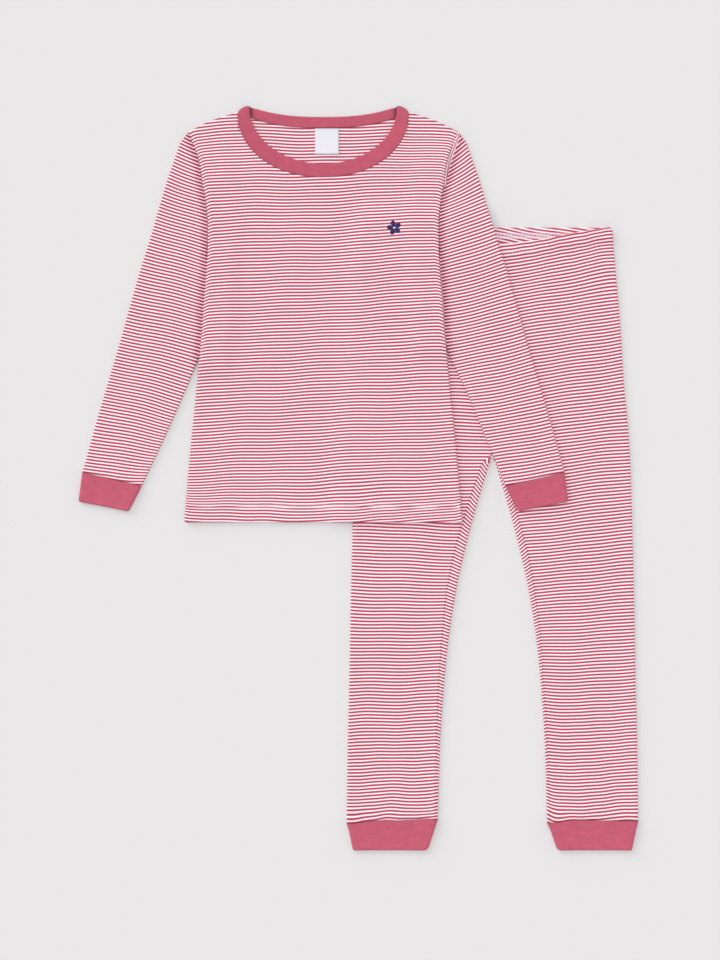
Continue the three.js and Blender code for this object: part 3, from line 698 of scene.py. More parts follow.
def body_low(x, down):
    from_side = side_at(down) - np.abs(x)
    end = np.where(x < 0, SLIP_END[-1], SLIP_END[1])
    lift = mix(SEAM_LIFT * rises(down, *CURL), OVER_TROUSERS, rises(down, *SLIP))
    along = lift * (1 - rises(down, end, end + SLIP_FADE))
    return over_trousers(x, down) + along * (1 - rises(from_side, SLIP_WIDTH, 2 * SLIP_WIDTH))

# %% The plan of a panel
def front_curve(neck, share):
    angle = share * math.pi / 2
    x = neck["half"] * np.sign(angle) * np.abs(np.sin(angle)) ** (2 / neck["power"])
    return x, neck["start"] + neck["depth"] * np.abs(np.cos(angle)) ** (2 / neck["power"])


def back_curve(neck, share):
    return neck["half"] * share, neck["start"] + neck["depth"] * (1 - np.abs(share) ** neck["power"])


def upper_edge(share, neck):
    """A shoulder, the neck, and the other shoulder."""
    from_centre = np.abs(share - 0.5) * 2
    side = np.sign(share - 0.5)
    neck_share = 1 - 2 * SHOULDER_SHARE
    neck_x, neck_down = neck(side * np.clip(from_centre / neck_share, 0, 1))
    along = np.clip((from_centre - neck_share) / (1 - neck_share), 0, 1)
    shoulder_x = side * mix(SHOULDER_NECK["half"], side_at(SHOULDER_TIP), along)
    shoulder_down = mix(SHOULDER_NECK["down"], SHOULDER_TIP, along)
    shoulder_down = shoulder_down - SHOULDER_ROUND * np.sin(math.pi * along)
    in_neck = from_centre <= neck_share
    return np.where(in_neck, neck_x, shoulder_x), np.where(in_neck, neck_down, shoulder_down)


def panel_plan(down, share, neck):
    half = side_at(down)
    across = 2 * share - 1
    straight_x = (half - corner_inset(3, TOP_LENGTH - down)) * across
    lowered = np.clip((down - SHOULDER_TIP) / (YOKE_DOWN - SHOULDER_TIP), 0, 1)
    yoke_half = side_at(YOKE_DOWN)
    bend = half - mix(side_at(SHOULDER_TIP), yoke_half, lowered)
    near_armhole = np.clip(1 - (1 - np.abs(across)) / (2 * SHOULDER_SHARE), 0, 1)
    top_x, top_down = upper_edge(share, neck)
    yoke_x = mix(top_x, yoke_half * across, lowered) + np.sign(across) * bend * near_armhole
    in_yoke = down < YOKE_DOWN
    return np.where(in_yoke, yoke_x, straight_x), np.where(in_yoke, mix(top_down, YOKE_DOWN, lowered), down)

# %% Front and back of the top
CURL_STEPS = 5
HEM_PHASE = 0.45
HEM_STRETCH = 0.9
HEM_TUCK = 0.45
HEM_CURL = {"right": {"width": 2.4, "rise": 1.3}, "left": {"width": 4.5, "rise": 2.4}}
ARMHOLE_PULL = {"width": 3.2, "drop": 2.0}
EDGE_COLUMN = 0.013
THIN_EDGE = {"share": 0.45, "width": 2.4}
EDGE_SHADE = {"share": 0.35, "start": 0.4, "end": 1.7}
COLUMN_STEP = 0.0092
CREASE_MARGIN = 12
BACK_SOFT = {"share": 0.3, "most": 0.2}
HEM_WAVY = (385, 425)
HEM_STRETCHED = (384, 419)
HEM_TUCKED = (419, 438)
HEM_LEFT_PART = (-60, 60)
ARMHOLE_PULL_FADE = (230, 280)
FINE_RIM = [0.0, 0.25, 0.7]


def rim_rows(end, others, step):
    """Rows of a piece, with a few fine ones where its last edge is rounded."""
    fine = [end - distance for distance in reversed(FINE_RIM)]
    return spread([*others, end - 1.6, *fine], step)


def panel_grid(is_front):
    hem_top = TOP_LENGTH - HEM_DEPTH
    marks = [SHOULDER_TIP, YOKE_DOWN, hem_top - TURNED_STEP, hem_top, hem_top + TWIN_NEEDLE]
    rows = rim_rows(TOP_LENGTH, marks, MESH_STEP)[:, None]
    thickness = mix(CLOTH, DOUBLED, rises(rows, hem_top - TURNED_STEP, hem_top))
    width = 2 * side_at(rows)
    roll = rises(rows, *CURL)
    radius = (thickness + BULGE) / 2
    near = mix(SEAM_FLAT, thickness / 2 + radius, roll)
    bends = np.linspace(1, 0, CURL_STEPS + 1)[None, :-1]
    angles = bends * math.pi / 2
    curl_inset = mix(near * (1 - bends), near - radius * np.sin(angles), roll)
    curl_drop = roll * radius * (1 - np.cos(angles))
    flat_marks = [EDGE_COLUMN, SHOULDER_SHARE, 1 - SHOULDER_SHARE, 1 - EDGE_COLUMN]
    flat = spread(flat_marks, COLUMN_STEP)[None]
    distance = np.concatenate(
        [curl_inset, near, width * flat, width - near, (width - curl_inset)[:, ::-1]], axis=1
    )
    none = np.zeros((len(rows), flat.shape[1] + 2))
    drop = np.concatenate([curl_drop, none, curl_drop[:, ::-1]], axis=1)
    share = distance / width
    from_edge = np.minimum(distance, width - distance)
    neck = (lambda s: front_curve(FRONT_NECK, s)) if is_front else (lambda s: back_curve(BACK_NECK, s))
    x, down = panel_plan(rows, share, neck)
    low = body_low(x, down) + thickness / 2
    raised = roll * beside_fold(np.maximum(from_edge - near, 0))
    from_middle = np.abs(share - 0.5)
    beside_neck = rises(0.5 - from_middle, SHOULDER_SHARE - NECK_FADE, SHOULDER_SHARE + NECK_FADE)
    up_neck = NECK_RISE * beside_neck * (1 - rises(rows, SHOULDER_TIP, YOKE_DOWN))
    inside = rises(from_edge, near, near + CREASE_MARGIN)
    soft = inside * (creases(TOP_CREASES, x, down) + unevenness(x, down))
    if is_front:
        z = low + thickness + GAP + raised + up_neck - drop + np.maximum(soft, DEEPEST_TROUGH)
    else:
        z = low + drop + np.clip(BACK_SOFT["share"] * soft, 0, BACK_SOFT["most"])
    edge_share = mix(THIN_EDGE["share"], 1, rises(from_edge, 0, THIN_EDGE["width"]))
    z = z - thickness * (1 - edge_share) / 2
    points = np.stack([TOP_X + x, TOP_Y - down, z], axis=2)
    tilts = FRONT_TILTS if is_front else BACK_TILTS
    stripes = stripe_numbers(tilts, BODY_PITCH, lambda d: -side_at(d), side_at, x, down, HEM_PHASE)
    hem_waves = 0.3 * np.sin(x / 15.0 + 0.7) + 0.16 * np.sin(x / 6.1 - 1.0)
    stripes = stripes + rises(down, *HEM_WAVY) * hem_waves / BODY_PITCH
    stretched = HEM_TUCK * rises(down, *HEM_TUCKED) - HEM_STRETCH * rises(down, *HEM_STRETCHED)
    stripes = stripes + stretched * rises(x, *HEM_LEFT_PART)
    at_edge = np.exp(-((from_edge / ARMHOLE_PULL["width"]) ** 2))
    pulled = ARMHOLE_PULL["drop"] * at_edge * (1 - rises(down, *ARMHOLE_PULL_FADE))
    risen = 0.0
    for word, side in SIDES:
        curl = HEM_CURL[word]
        beside = np.maximum(side_at(down) - side * x, 0)
        risen = risen + curl["rise"] * np.exp(-beside / curl["width"])
    stripes = stripes + (risen * rises(down, *HEM_WAVY) - pulled) / BODY_PITCH
    shell = thickness * rounded_rim(TOP_LENGTH - rows, 1.0) * edge_share
    level = int(np.argmax(rows[:, 0] >= YOKE_DOWN))
    at_edge = 1 - rises(from_edge, EDGE_SHADE["start"], EDGE_SHADE["end"])
    shade = EDGE_SHADE["share"] * at_edge * roll
    grid = {"points": points, "thickness": shell, "ribs": x / RIB, "stripes": stripes}
    return {**grid, "shade": shade, "rows": rows[:, 0], "level": level}


front_grid = panel_grid(True)
back_grid = panel_grid(False)
soft_pieces = {}


def make_sheet(name, grid, material, closed=False):
    """Makes the cloth and keeps it by name with the area that it is cut to."""
    shade = grid.get("shade", 0.0)
    shape = (grid["points"], grid["thickness"], grid["ribs"], grid["stripes"])
    piece = make_cloth(name, *shape, material, shade, closed)
    area = cloth_area(grid["points"], closed)
    cut = cut_size(grid["points"], closed, grid.get("level", 0))
    soft_pieces[name] = {"piece": piece, "area": area, "cut": cut}
    return piece


make_sheet("top_front_cloth", front_grid, striped_knit)
make_sheet("top_back_cloth", back_grid, striped_knit)

# %% [markdown]
# ## Sleeves and legs
#
# A sleeve or a trouser leg is one piece of cloth folded in half along the arm or the leg. Its
# section is a flat C: the lower layer, a tight turn at the fold, and the upper layer, which stands
# a little higher beside the fold and then settles. The same section serves sleeves, legs and the
# narrow strips inside the legs.

# %% The section of a folded piece
def side_by_side(rows, *parts):
    """Puts stretches of a section beside each other, each for all rows."""
    return np.concatenate([np.broadcast_to(part, (rows, np.shape(part)[1])) for part in parts], axis=1)


def folded_section(width, thickness, roll, counts, margin=SEAM_FLAT):
    """Distance from the fold, layer and height, for rows of one column of numbers each."""
    radius = (thickness + GAP + BULGE) / 2
    roll_radius = radius - GAP / 2
    near_fold = thickness / 2 + radius
    near_edge = width - mix(np.minimum(margin, width / 4), thickness / 2 + roll_radius, roll)
    angles = np.linspace(math.pi / 2, 0, counts["curl"] + 1)[None, :-1]
    flat_curl = mix(near_edge, width, 2 * angles / math.pi)
    curl = mix(flat_curl, near_edge + roll_radius * np.sin(angles), roll)
    drop = roll * roll_radius * (1 - np.cos(angles))
    turns = np.linspace(0, math.pi, counts["fold"] + 1)[None]
    lower = mix(near_edge, near_fold, np.linspace(0, 1, counts["lower"] + 1)[None, :-1])
    upper = mix(near_fold, near_edge, np.linspace(0, 1, counts["upper"] + 1)[None, 1:])
    fold = near_fold - radius * np.sin(turns)
    rows = len(width)
    distance = side_by_side(rows, curl, lower, fold, upper, curl[:, ::-1])
    settled = np.minimum(distance, near_edge)
    raised = beside_fold(settled - near_fold) + roll * beside_fold(near_edge - settled)
    over = thickness + GAP + np.minimum(raised, BULGE)
    first, last = curl.shape[1] + lower.shape[1], upper.shape[1] + curl.shape[1]
    turn = radius * (1 - np.cos(turns))
    over_curl = over[:, -curl.shape[1] :] - drop[:, ::-1]
    height = side_by_side(rows, drop, lower * 0, turn, over[:, -last : -curl.shape[1]], over_curl)
    layer = np.concatenate([np.zeros(first), turns[0] / math.pi, np.ones(last)])[None]
    return distance, layer, height


def tube_section(width, thickness, count, fold_count):
    """The same for a closed, flattened tube such as a cuff."""
    radius = (thickness + GAP + BULGE) / 2
    near = thickness / 2 + radius
    turns = np.linspace(0, math.pi, fold_count + 1)[None, :-1]
    flat = np.linspace(0, 1, count + 1)[None, :-1]
    upper = mix(near, width - near, flat)
    raised = beside_fold(upper - near) + beside_fold(width - near - upper)
    lower = mix(width - near, near, flat)
    distance = [near - radius * np.sin(turns), upper, width - near + radius * np.sin(turns), lower]
    over = thickness + GAP + np.minimum(raised, BULGE)
    height = [radius * (1 - np.cos(turns)), over, radius * (1 + np.cos(turns)), lower * 0]
    return side_by_side(len(width), *distance), side_by_side(len(width), *height)

# %% The sleeves
SLEEVE_COUNTS = {"curl": 8, "fold": 8, "lower": 26, "upper": 34}
SLEEVE_CREASES = {
    -1: table(
        "x down length turn bend width height",
        (-150, 150, 90, 30, 3, 6, 0.4), (-166, 205, 120, 22, -4, 8, 0.5),
        (-176, 290, 110, 12, 4, 6, -0.45), (-205, 318, 100, 20, -3, 7, 0.45),
        (-214, 376, 50, 18, 2, 5, 0.5), (-232, 378, 36, 14, 1, 4, 0.35),
    ),
    1: table(
        "x down length turn bend width height",
        (146, 120, 80, -24, -3, 6, 0.4), (170, 232, 130, -20, 4, 8, 0.5),
        (190, 282, 90, -26, -3, 6, -0.35), (204, 322, 100, -16, 3, 7, 0.45),
        (218, 374, 50, -18, -2, 5, 0.45), (236, 370, 40, -14, 1, 4, 0.35),
    ),
}
ARMHOLE_SHADE = {"share": 0.9, "width": 11.0, "near": 0.6, "reach": 2.6, "fade": (262, 290)}
SLIVER = {"width": 3.9, "last": 2.2, "start": 50, "end": 84, "fade": 12, "joins": 10}
SLIVER_STRIPE = {"pale": 0.7, "pitch": 2.5, "narrower": 0.1}
SLEEVE_CLEAR = (2, 12)
SLEEVE_INSIDE = (2, 8)


def sleeve_ends(rows, side):
    fold_x = side * read(SLEEVE_ROWS, "fold", rows)
    fold_down = read(SLEEVE_ROWS, "fold_down", rows)
    return fold_x, fold_down, side * (side_at(rows) - under_at(rows, side)), rows


def sleeve_grid(side):
    rows = spread([row["down"] for row in SLEEVE_ROWS], MESH_STEP)[:, None]
    fold_x, fold_down, edge_x, edge_down = sleeve_ends(rows, side)
    width = np.hypot(fold_x - edge_x, fold_down - edge_down)
    roll = rises(rows, *SLIP)
    margin = SEAM_FLAT
    sliver_width = mix(SLIVER["width"], SLIVER["last"], rises(rows, SLIVER["start"], SLIVER["end"]))
    if side > 0:
        after = rises(rows, SLIVER["end"], SLIVER["end"] + SLIVER["fade"])
        margin = mix(sliver_width + under_at(rows, side), SEAM_FLAT, after)
    distance, layer, height = folded_section(width, CLOTH, roll, SLEEVE_COUNTS, margin)
    share = distance / width
    x = mix(fold_x, edge_x, share)
    down = mix(fold_down, edge_down, share)
    middle = np.sin(math.pi * np.clip(share, 0, 1)) ** 2
    full = SLEEVE_FULLNESS * rises(rows, SLIP[1], SLIP_END[-1]) * middle
    clear = rises(np.abs(x) - side_at(down), *SLEEVE_CLEAR)
    inside = rises(distance, *SLEEVE_INSIDE) * rises(width - distance, *SLEEVE_INSIDE) * layer
    soft = creases(SLEEVE_CREASES[side], x, down) + unevenness(x + 40, down)
    upper = full + np.maximum(clear * soft, DEEPEST_TROUGH)
    z = over_trousers(x, down) + CLOTH / 2 + height + inside * upper
    points = np.stack([TOP_X + x, TOP_Y - down, z], axis=2)
    sides = both_sides(sleeve_fold_at, lambda d: side_at(d) - under_at(d, side), side)
    stripes = stripe_numbers(SLEEVE_TILTS[side], SLEEVE_PITCH, *sides, x, down)
    from_body = np.abs(x) - side_at(down)
    if side > 0:
        in_margin = np.arange(x.shape[1])[None] >= x.shape[1] - SLEEVE_COUNTS["curl"]
        sliver = in_margin & (down < SLIVER["end"])
        along_edge = (from_body - SLIVER_STRIPE["pale"]) / SLIVER_STRIPE["pitch"]
        along_edge = along_edge - SLIVER_STRIPE["narrower"] * np.sin(2 * math.pi * along_edge)
        stripes = np.where(sliver, along_edge, stripes)
        joins = rises(down, SLIVER["end"] - SLIVER["joins"], SLIVER["end"])
        from_body = from_body - sliver_width * (1 - joins)
    dark = ARMHOLE_SHADE
    near = mix(dark["near"], 1, rises(from_body, 0, dark["reach"]))
    beside_body = (1 - rises(from_body, 0, dark["width"])) * near
    shade = dark["share"] * layer * beside_body * (1 - rises(down, *dark["fade"]))
    grid = {"points": points, "thickness": CLOTH, "ribs": distance / RIB, "stripes": stripes}
    return {**grid, "shade": shade}


for word, side in SIDES:
    make_sheet(f"sleeve_{word}_cloth", sleeve_grid(side), striped_knit)

# %% [markdown]
# ## Cuffs
#
# The cuffs are short tubes of the same rib in plain raspberry, folded double, so their free edge
# is a soft fold and not a raw edge. They pull the wider sleeve or leg in a little at the seam.

# %% Wrist and ankle cuffs
ANKLE_ENDS = table(
    "x sag reach",
    (56.0, 2.4, 34), (153.0, 1.4, 46), (-153.0, 2.8, 46), (-57.0, -0.9, 40),
)


def ankle_seam_waver(x):
    """The stretched seam above an ankle cuff isn't straight: how far it sags at a place across."""
    waver = 0.4 * np.sin(x / 8.5 + 0.6) + 0.2 * np.sin(x / 3.4) + 0.2
    for end in ANKLE_ENDS:
        waver = waver + end["sag"] * (1 - rises(np.abs(x - end["x"]), 4, end["reach"]))
    return waver


CUFF_RIB = 1.9
CUFF_COURSE = 1.3
CUFF_ROUND = 1.4
CUFF_FINE = (5, 3, 1, 0.25, 0)
CUFF_STEP = 1.5
CUFF_WAVER_REACH = 12
CUFF_SWELL = 0.5
CUFF_SHADE = {"seam": 0.2, "seam_width": 1.6, "rim": 0.12, "rim_width": 1.8}


def cuff_grid(seam_outer, seam_inner, end_outer, end_inner, corner, under, origin, waver):
    """A cuff from its seam to its free end. The four corners are (x, down)."""
    corners = [np.array(spot, float) for spot in (seam_outer, seam_inner, end_outer, end_inner)]
    length = np.linalg.norm(corners[2] - corners[0])
    places = spread([CUFF_GAP, 2.5, *(length - back for back in CUFF_FINE)], CUFF_STEP)
    shares = (places / length)[:, None]
    outer = np.stack([mix(corners[0][k], corners[2][k], shares) for k in (0, 1)], axis=2)
    inner = np.stack([mix(corners[1][k], corners[3][k], shares) for k in (0, 1)], axis=2)
    full = np.linalg.norm(outer - inner, axis=2)
    from_end = (1 - shares) * length
    outer_inset, inner_inset = (corner_inset(corner[name], from_end) for name in ("outer", "inner"))
    distance, height = tube_section(full - outer_inset - inner_inset, DOUBLED, 30, 8)
    share = ((distance + outer_inset) / full)[..., None]
    spot = mix(outer, inner, share)
    x, down = spot[..., 0], spot[..., 1]
    down = down + waver(x) * (1 - rises(places, 0, CUFF_WAVER_REACH))[:, None]
    swell = np.clip(height - DOUBLED, 0, 1) * CUFF_SWELL * np.sin(math.pi * np.clip(shares, 0, 1))
    swell = swell * np.sin(math.pi * share[..., 0]) ** 2
    z = under(x, down) + DOUBLED / 2 + height + swell
    points = np.stack([origin[0] + x, origin[1] - down, z], axis=2)
    round_turn = round(2 * full.mean() / CUFF_RIB)
    turn = np.arange(distance.shape[1] + 1) / distance.shape[1]
    ribs = np.broadcast_to(turn * round_turn, (len(places), len(turn)))
    courses = np.broadcast_to(places[:, None] / CUFF_COURSE, ribs.shape)
    shell = DOUBLED * rounded_rim(length - places, CUFF_ROUND)[:, None]
    at_seam = 1 - rises(places, 0, CUFF_SHADE["seam_width"])
    at_rim = 1 - rises(length - places, 0, CUFF_SHADE["rim_width"])
    shade = (CUFF_SHADE["seam"] * at_seam + CUFF_SHADE["rim"] * at_rim)[:, None]
    return {"points": points, "thickness": shell, "ribs": ribs, "stripes": courses, "shade": shade}


def wrist_cuff_grid(side):
    seam = SLEEVE_ROWS[-1]
    fold_x, fold_down, edge_x, edge_down = sleeve_ends(float(seam["down"]), side)
    end_outer = (side * WRIST_CUFF["fold"], WRIST_CUFF["fold_down"])
    end_inner = (side * WRIST_CUFF["edge"], WRIST_CUFF["edge_down"])
    corners = ((fold_x, fold_down), (edge_x, edge_down), end_outer, end_inner)
    no_waver = lambda x: 0.0 * x
    return cuff_grid(*corners, WRIST_CORNER, over_trousers, (TOP_X, TOP_Y), no_waver)


def ankle_cuff_grid(side):
    seam_down = LEG_LENGTH - CUFF_GAP
    seam_outer = (side * outer_at(LEG_LENGTH), seam_down)
    seam_inner = (side * inner_at(LEG_LENGTH), seam_down)
    end_outer = (side * ANKLE_CUFF["outer"], ANKLE_CUFF["down"])
    end_inner = (side * ANKLE_CUFF["inner"], ANKLE_CUFF["down"])
    corners = (seam_outer, seam_inner, end_outer, end_inner)
    floor_level = lambda x, down: 0.0 * x
    origin = (TROUSERS_X, TROUSERS_Y)
    return cuff_grid(*corners, ANKLE_CORNER, floor_level, origin, ankle_seam_waver)


for word, side in SIDES:
    make_sheet(f"wrist_cuff_{word}_cloth", wrist_cuff_grid(side), cuff_knit, closed=True)
    make_sheet(f"ankle_cuff_{word}_cloth", ankle_cuff_grid(side), cuff_knit, closed=True)

# %% [markdown]
# ## The legs of the trousers
#
# The waist is a casing: the cloth is turned down over an elastic and stitched, which gathers it
# into small folds that run down and fade. The front dips at the middle, so the inside of the back
# shows above it. Below the crotch a narrow strip is let in along the inside of each leg.

# %% The legs
SEAM_SHADE = 0.12
LEG_END = LEG_LENGTH - CUFF_GAP
OVERLOCK_DOWN = 6.8
CASING_SEAM = 10.2
CASING_STEP = 6.0
WAIST_CORNER = 2.6
ANKLE_BEND = {-1: 0.7, 1: 1.5, "width": 4.5, "starts": (560, 592)}
WAIST_BEND = {"rise": 1.7, "width": 6.5, "ends": (30, 110)}
LEG_COUNTS = {"curl": 3, "fold": 8, "lower": 34, "upper": 56}
SMALL_GATHERS = table(
    "x lean length rise",
    (-112, -0.02, 38, 0.3), (-101, -0.05, 30, 0.22), (-78, 0.04, 44, 0.3), (-66, -0.03, 34, 0.26),
    (-44, 0.06, 40, 0.3), (-33, 0.02, 28, 0.2), (-11, -0.05, 46, 0.3), (4, 0.03, 34, 0.24),
    (29, -0.02, 42, 0.3), (58, 0.07, 52, 0.32), (68, 0.05, 36, 0.24), (90, 0.12, 58, 0.34),
    (96, -0.03, 30, 0.22), (111, 0.04, 48, 0.3), (118, 0.01, 26, 0.2),
)
SMALL_GATHER_WIDTH = 3.5
WAIST_RIM = [0, 0.3, 0.9, 1.8]
STRIP_FULL = 247
SEAM_WAVER_REACH = 14
ANKLE_WAVY = (420, 600)
WAIST_WAVY = (6, 64)
SEAM_SHADE_WIDTH = 2.5
SEAM_SHADE_START = 8
BODY_EDGE = {"aside": 8, "ends": (434, 440)}
SLEEVE_EDGE = {"aside": 6, "ends": (426, 434)}


def gathers_at(table, width, x, down):
    height = np.zeros(np.broadcast(x, down).shape)
    for ridge in table:
        aside = (x - ridge["x"] - ridge["lean"] * down) / width
        fade = rises(down, 0, CASING_DEPTH) * (1 - rises(down, ridge["length"] / 3, ridge["length"]))
        height += ridge["rise"] * fade * np.exp(-(aside**2))
    return height


def strip_at(down, side):
    width = read(LEG_ROWS, "strip_right" if side < 0 else "strip_left", down)
    return np.maximum(width, NARROWEST_STRIP)


def leg_edge_at(down, side):
    beside_strip = np.maximum(SEAM_GAP / 2, inner_at(down) + strip_at(down, side) + SEAM_GAP)
    return np.where(down <= CROTCH, SEAM_GAP / 2, beside_strip)


def casing_at(down):
    return mix(DOUBLED, CLOTH, rises(down, CASING_DEPTH, CASING_DEPTH + CASING_STEP))


def under_top(x, down):
    """1 where the top or a sleeve lies on the trousers, 0 where they are free."""
    top_x, top_down = x + TROUSERS_RIGHT, down + TROUSERS_DOWN

    def under(from_side, edge):
        return (1 - rises(from_side, 0, edge["aside"])) * (1 - rises(top_down, *edge["ends"]))

    body = under(np.abs(top_x) - side_at(top_down), BODY_EDGE)
    return np.maximum(body, under(top_x - sleeve_fold_at(top_down), SLEEVE_EDGE))


def seam_waver_at(x, rows):
    """How far the rows near an ankle cuff follow its wavy seam."""
    return ankle_seam_waver(x) * rises(rows, LEG_END - SEAM_WAVER_REACH, LEG_END)


def leg_grid(side):
    casing = [OVERLOCK_DOWN, CASING_SEAM, CASING_DEPTH + CASING_STEP]
    marks = [*WAIST_RIM, *casing, CROTCH, STRIP_START, STRIP_FULL, LEG_END]
    rows = spread(marks, MESH_STEP)[:, None]
    thickness = casing_at(rows)
    outer = outer_at(rows) - corner_inset(WAIST_CORNER, rows)
    width = outer - leg_edge_at(rows, side)
    distance, layer, height = folded_section(width, thickness, 0.0, LEG_COUNTS)
    x = outer - distance
    from_middle = np.clip(np.abs(x) / WAIST_HALF, 0, 1)
    drop = FRONT_DROP * np.cos(math.pi / 2 * from_middle) ** FRONT_DROP_POWER
    down = rows + drop * layer * (1 - rises(rows, 0, DROP_FADE))
    share = distance / width
    wave = rises(rows, *CROTCH_ROUND) * beside_fold(np.abs(x) - inner_at(rows))
    wave = wave + casing_at(down) - CLOTH
    lift = WAIST_LIFT * (1 - rises(rows, 0, WAIST_LIFT_DEPTH))
    wave = wave + lift * np.sin(math.pi * np.minimum(share, 0.5))
    wave = wave + gathers_at(GATHERS, GATHER_WIDTH, side * x, rows)
    free = 1 - under_top(side * x, down)
    soft = creases(LEG_CREASES, x, down) + unevenness(side * x, down + 90)
    soft = soft + gathers_at(SMALL_GATHERS, SMALL_GATHER_WIDTH, side * x, rows)
    inside = rises(distance, 2, 9) * rises(width - distance, 1, 6)
    z = thickness / 2 + height + layer * (wave + inside * free * np.maximum(soft, DEEPEST_TROUGH))
    seam_waver = seam_waver_at(side * x, rows)
    points = np.stack([TROUSERS_X + side * x, TROUSERS_Y - down - seam_waver, z], axis=2)
    sides = both_sides(outer_at, inner_at, side)
    stripes = stripe_numbers(LEG_TILTS[side], LEG_PITCH, *sides, side * x, down)
    stripes = stripes + (1 - layer) * inside_waist_slant(x, down) / LEG_PITCH
    ankle_waves = 0.36 * np.sin(x / 8.4 + down / 40 + side) + 0.16 * np.sin(x / 4.3 - down / 17)
    waist_waves = 0.2 * np.sin(x / 6.3 + down / 15 + side) + 0.18 * np.sin(x / 3.1 - down / 9)
    waist_waves = layer * (1 - rises(down, *WAIST_WAVY)) * waist_waves
    waves = rises(down, *ANKLE_WAVY) * ankle_waves + waist_waves
    from_seam = x - leg_edge_at(rows, side)
    bend = ANKLE_BEND[side] * np.exp(-np.maximum(from_seam, 0) / ANKLE_BEND["width"])
    waves = waves + bend * rises(down, *ANKLE_BEND["starts"])
    if side > 0:
        bend = WAIST_BEND["rise"] * np.exp(-distance / WAIST_BEND["width"])
        waves = waves - bend * (1 - rises(rows, *WAIST_BEND["ends"]))
    stripes = stripes + waves / LEG_PITCH
    beside_strip = 1 - rises(from_seam, 0, SEAM_SHADE_WIDTH)
    below_crotch = rises(rows, CROTCH, CROTCH + SEAM_SHADE_START)
    shade = SEAM_SHADE * layer * beside_strip * below_crotch
    shell = thickness * rounded_rim(rows, 1.0)
    grid = {"points": points, "thickness": shell, "ribs": side * x / RIB, "stripes": stripes}
    return {**grid, "shade": shade, "rows": rows[:, 0]}


def inside_waist_slant(x, down):
    """How far the stripes inside the back are moved, against those of the front, near the waist."""
    near_waist = 1 - rises(down, 30, 160)
    from_fold = outer_at(down) - x
    return near_waist * INSIDE_WAIST_SLANT * from_fold


leg_grids = {side: leg_grid(side) for side in (-1, 1)}
UPPER_OF_LEG = LEG_COUNTS["curl"] + LEG_COUNTS["lower"] + LEG_COUNTS["fold"] + 1
LOWER_OF_LEG = LEG_COUNTS["curl"] + LEG_COUNTS["lower"]
for word, side in SIDES:
    make_sheet(f"trouser_leg_{word}_cloth", leg_grids[side], striped_knit)

# %% The strips inside the legs
STRIP_COUNTS = {"curl": 3, "fold": 6, "lower": 4, "upper": 5}
STRIP_TILTS = table(
    "down right left",
    (241, 45, 42), (300, 38, 40), (335, 27, 38), (400, 20, 27), (500, 20, 26), (556, 28, 34),
    (582, 4, -10), (596, -10, -28), (622, -12, -28),
)


def strip_grid(side):
    rows = spread([STRIP_START, LEG_END], MESH_STEP)[:, None]
    inner = np.maximum(inner_at(rows), GAP / 2)
    width = strip_at(rows, side)
    distance, layer, height = folded_section(width, CLOTH, 0.0, STRIP_COUNTS)
    x = side * (inner + distance)
    down = rows + 0 * x
    y = TROUSERS_Y - rows - seam_waver_at(x, rows)
    points = np.stack([TROUSERS_X + x, y, CLOTH / 2 + height], axis=2)
    tilt = np.tan(np.radians(read(STRIP_TILTS, "right" if side < 0 else "left", rows)))
    leg = leg_grids[side]
    at_seam = np.interp(down, leg["rows"], leg["stripes"][:, -1])
    stripes = at_seam + tilt * (distance - width) / LEG_PITCH
    shade = SEAM_SHADE * layer * rises(distance, width - SEAM_SHADE_WIDTH, width)
    grid = {"points": points, "thickness": CLOTH, "ribs": distance / RIB, "stripes": stripes}
    return {**grid, "shade": shade}


for word, side in SIDES:
    make_sheet(f"inner_leg_strip_{word}_cloth", strip_grid(side), striped_knit)

# %% [markdown]
# ## The neckband
#
# The band is one closed loop of doubled rib. Along the front of the neck it lies on top, at each
# shoulder it turns over, and it runs back along the nape underneath. So it is made as one loop in
# place of the two halves of the solid model, with a soft fold at its free edge.

# %% The neckband as one loop
BAND_FRONT = 2.3 + DOUBLED / 2
BAND_BACK = DOUBLED / 2
BAND_END = 0.985
BAND_RIB = 1.95
TURN_ASIDE = (0.39, 0.92)
TURN_BOW = 1.5
TURN_CORNER = 1.3
BAND_WIDTH = 12
BAND_ROUND = {"fold": 1.2, "seam": 1.0, "seam_start": 0.4}
BAND_SHADE = {"seam": 0.22, "seam_width": 1.4, "under": 0.8, "from": 62, "grows": (71, 77)}
MIDDLE_ROW = 4


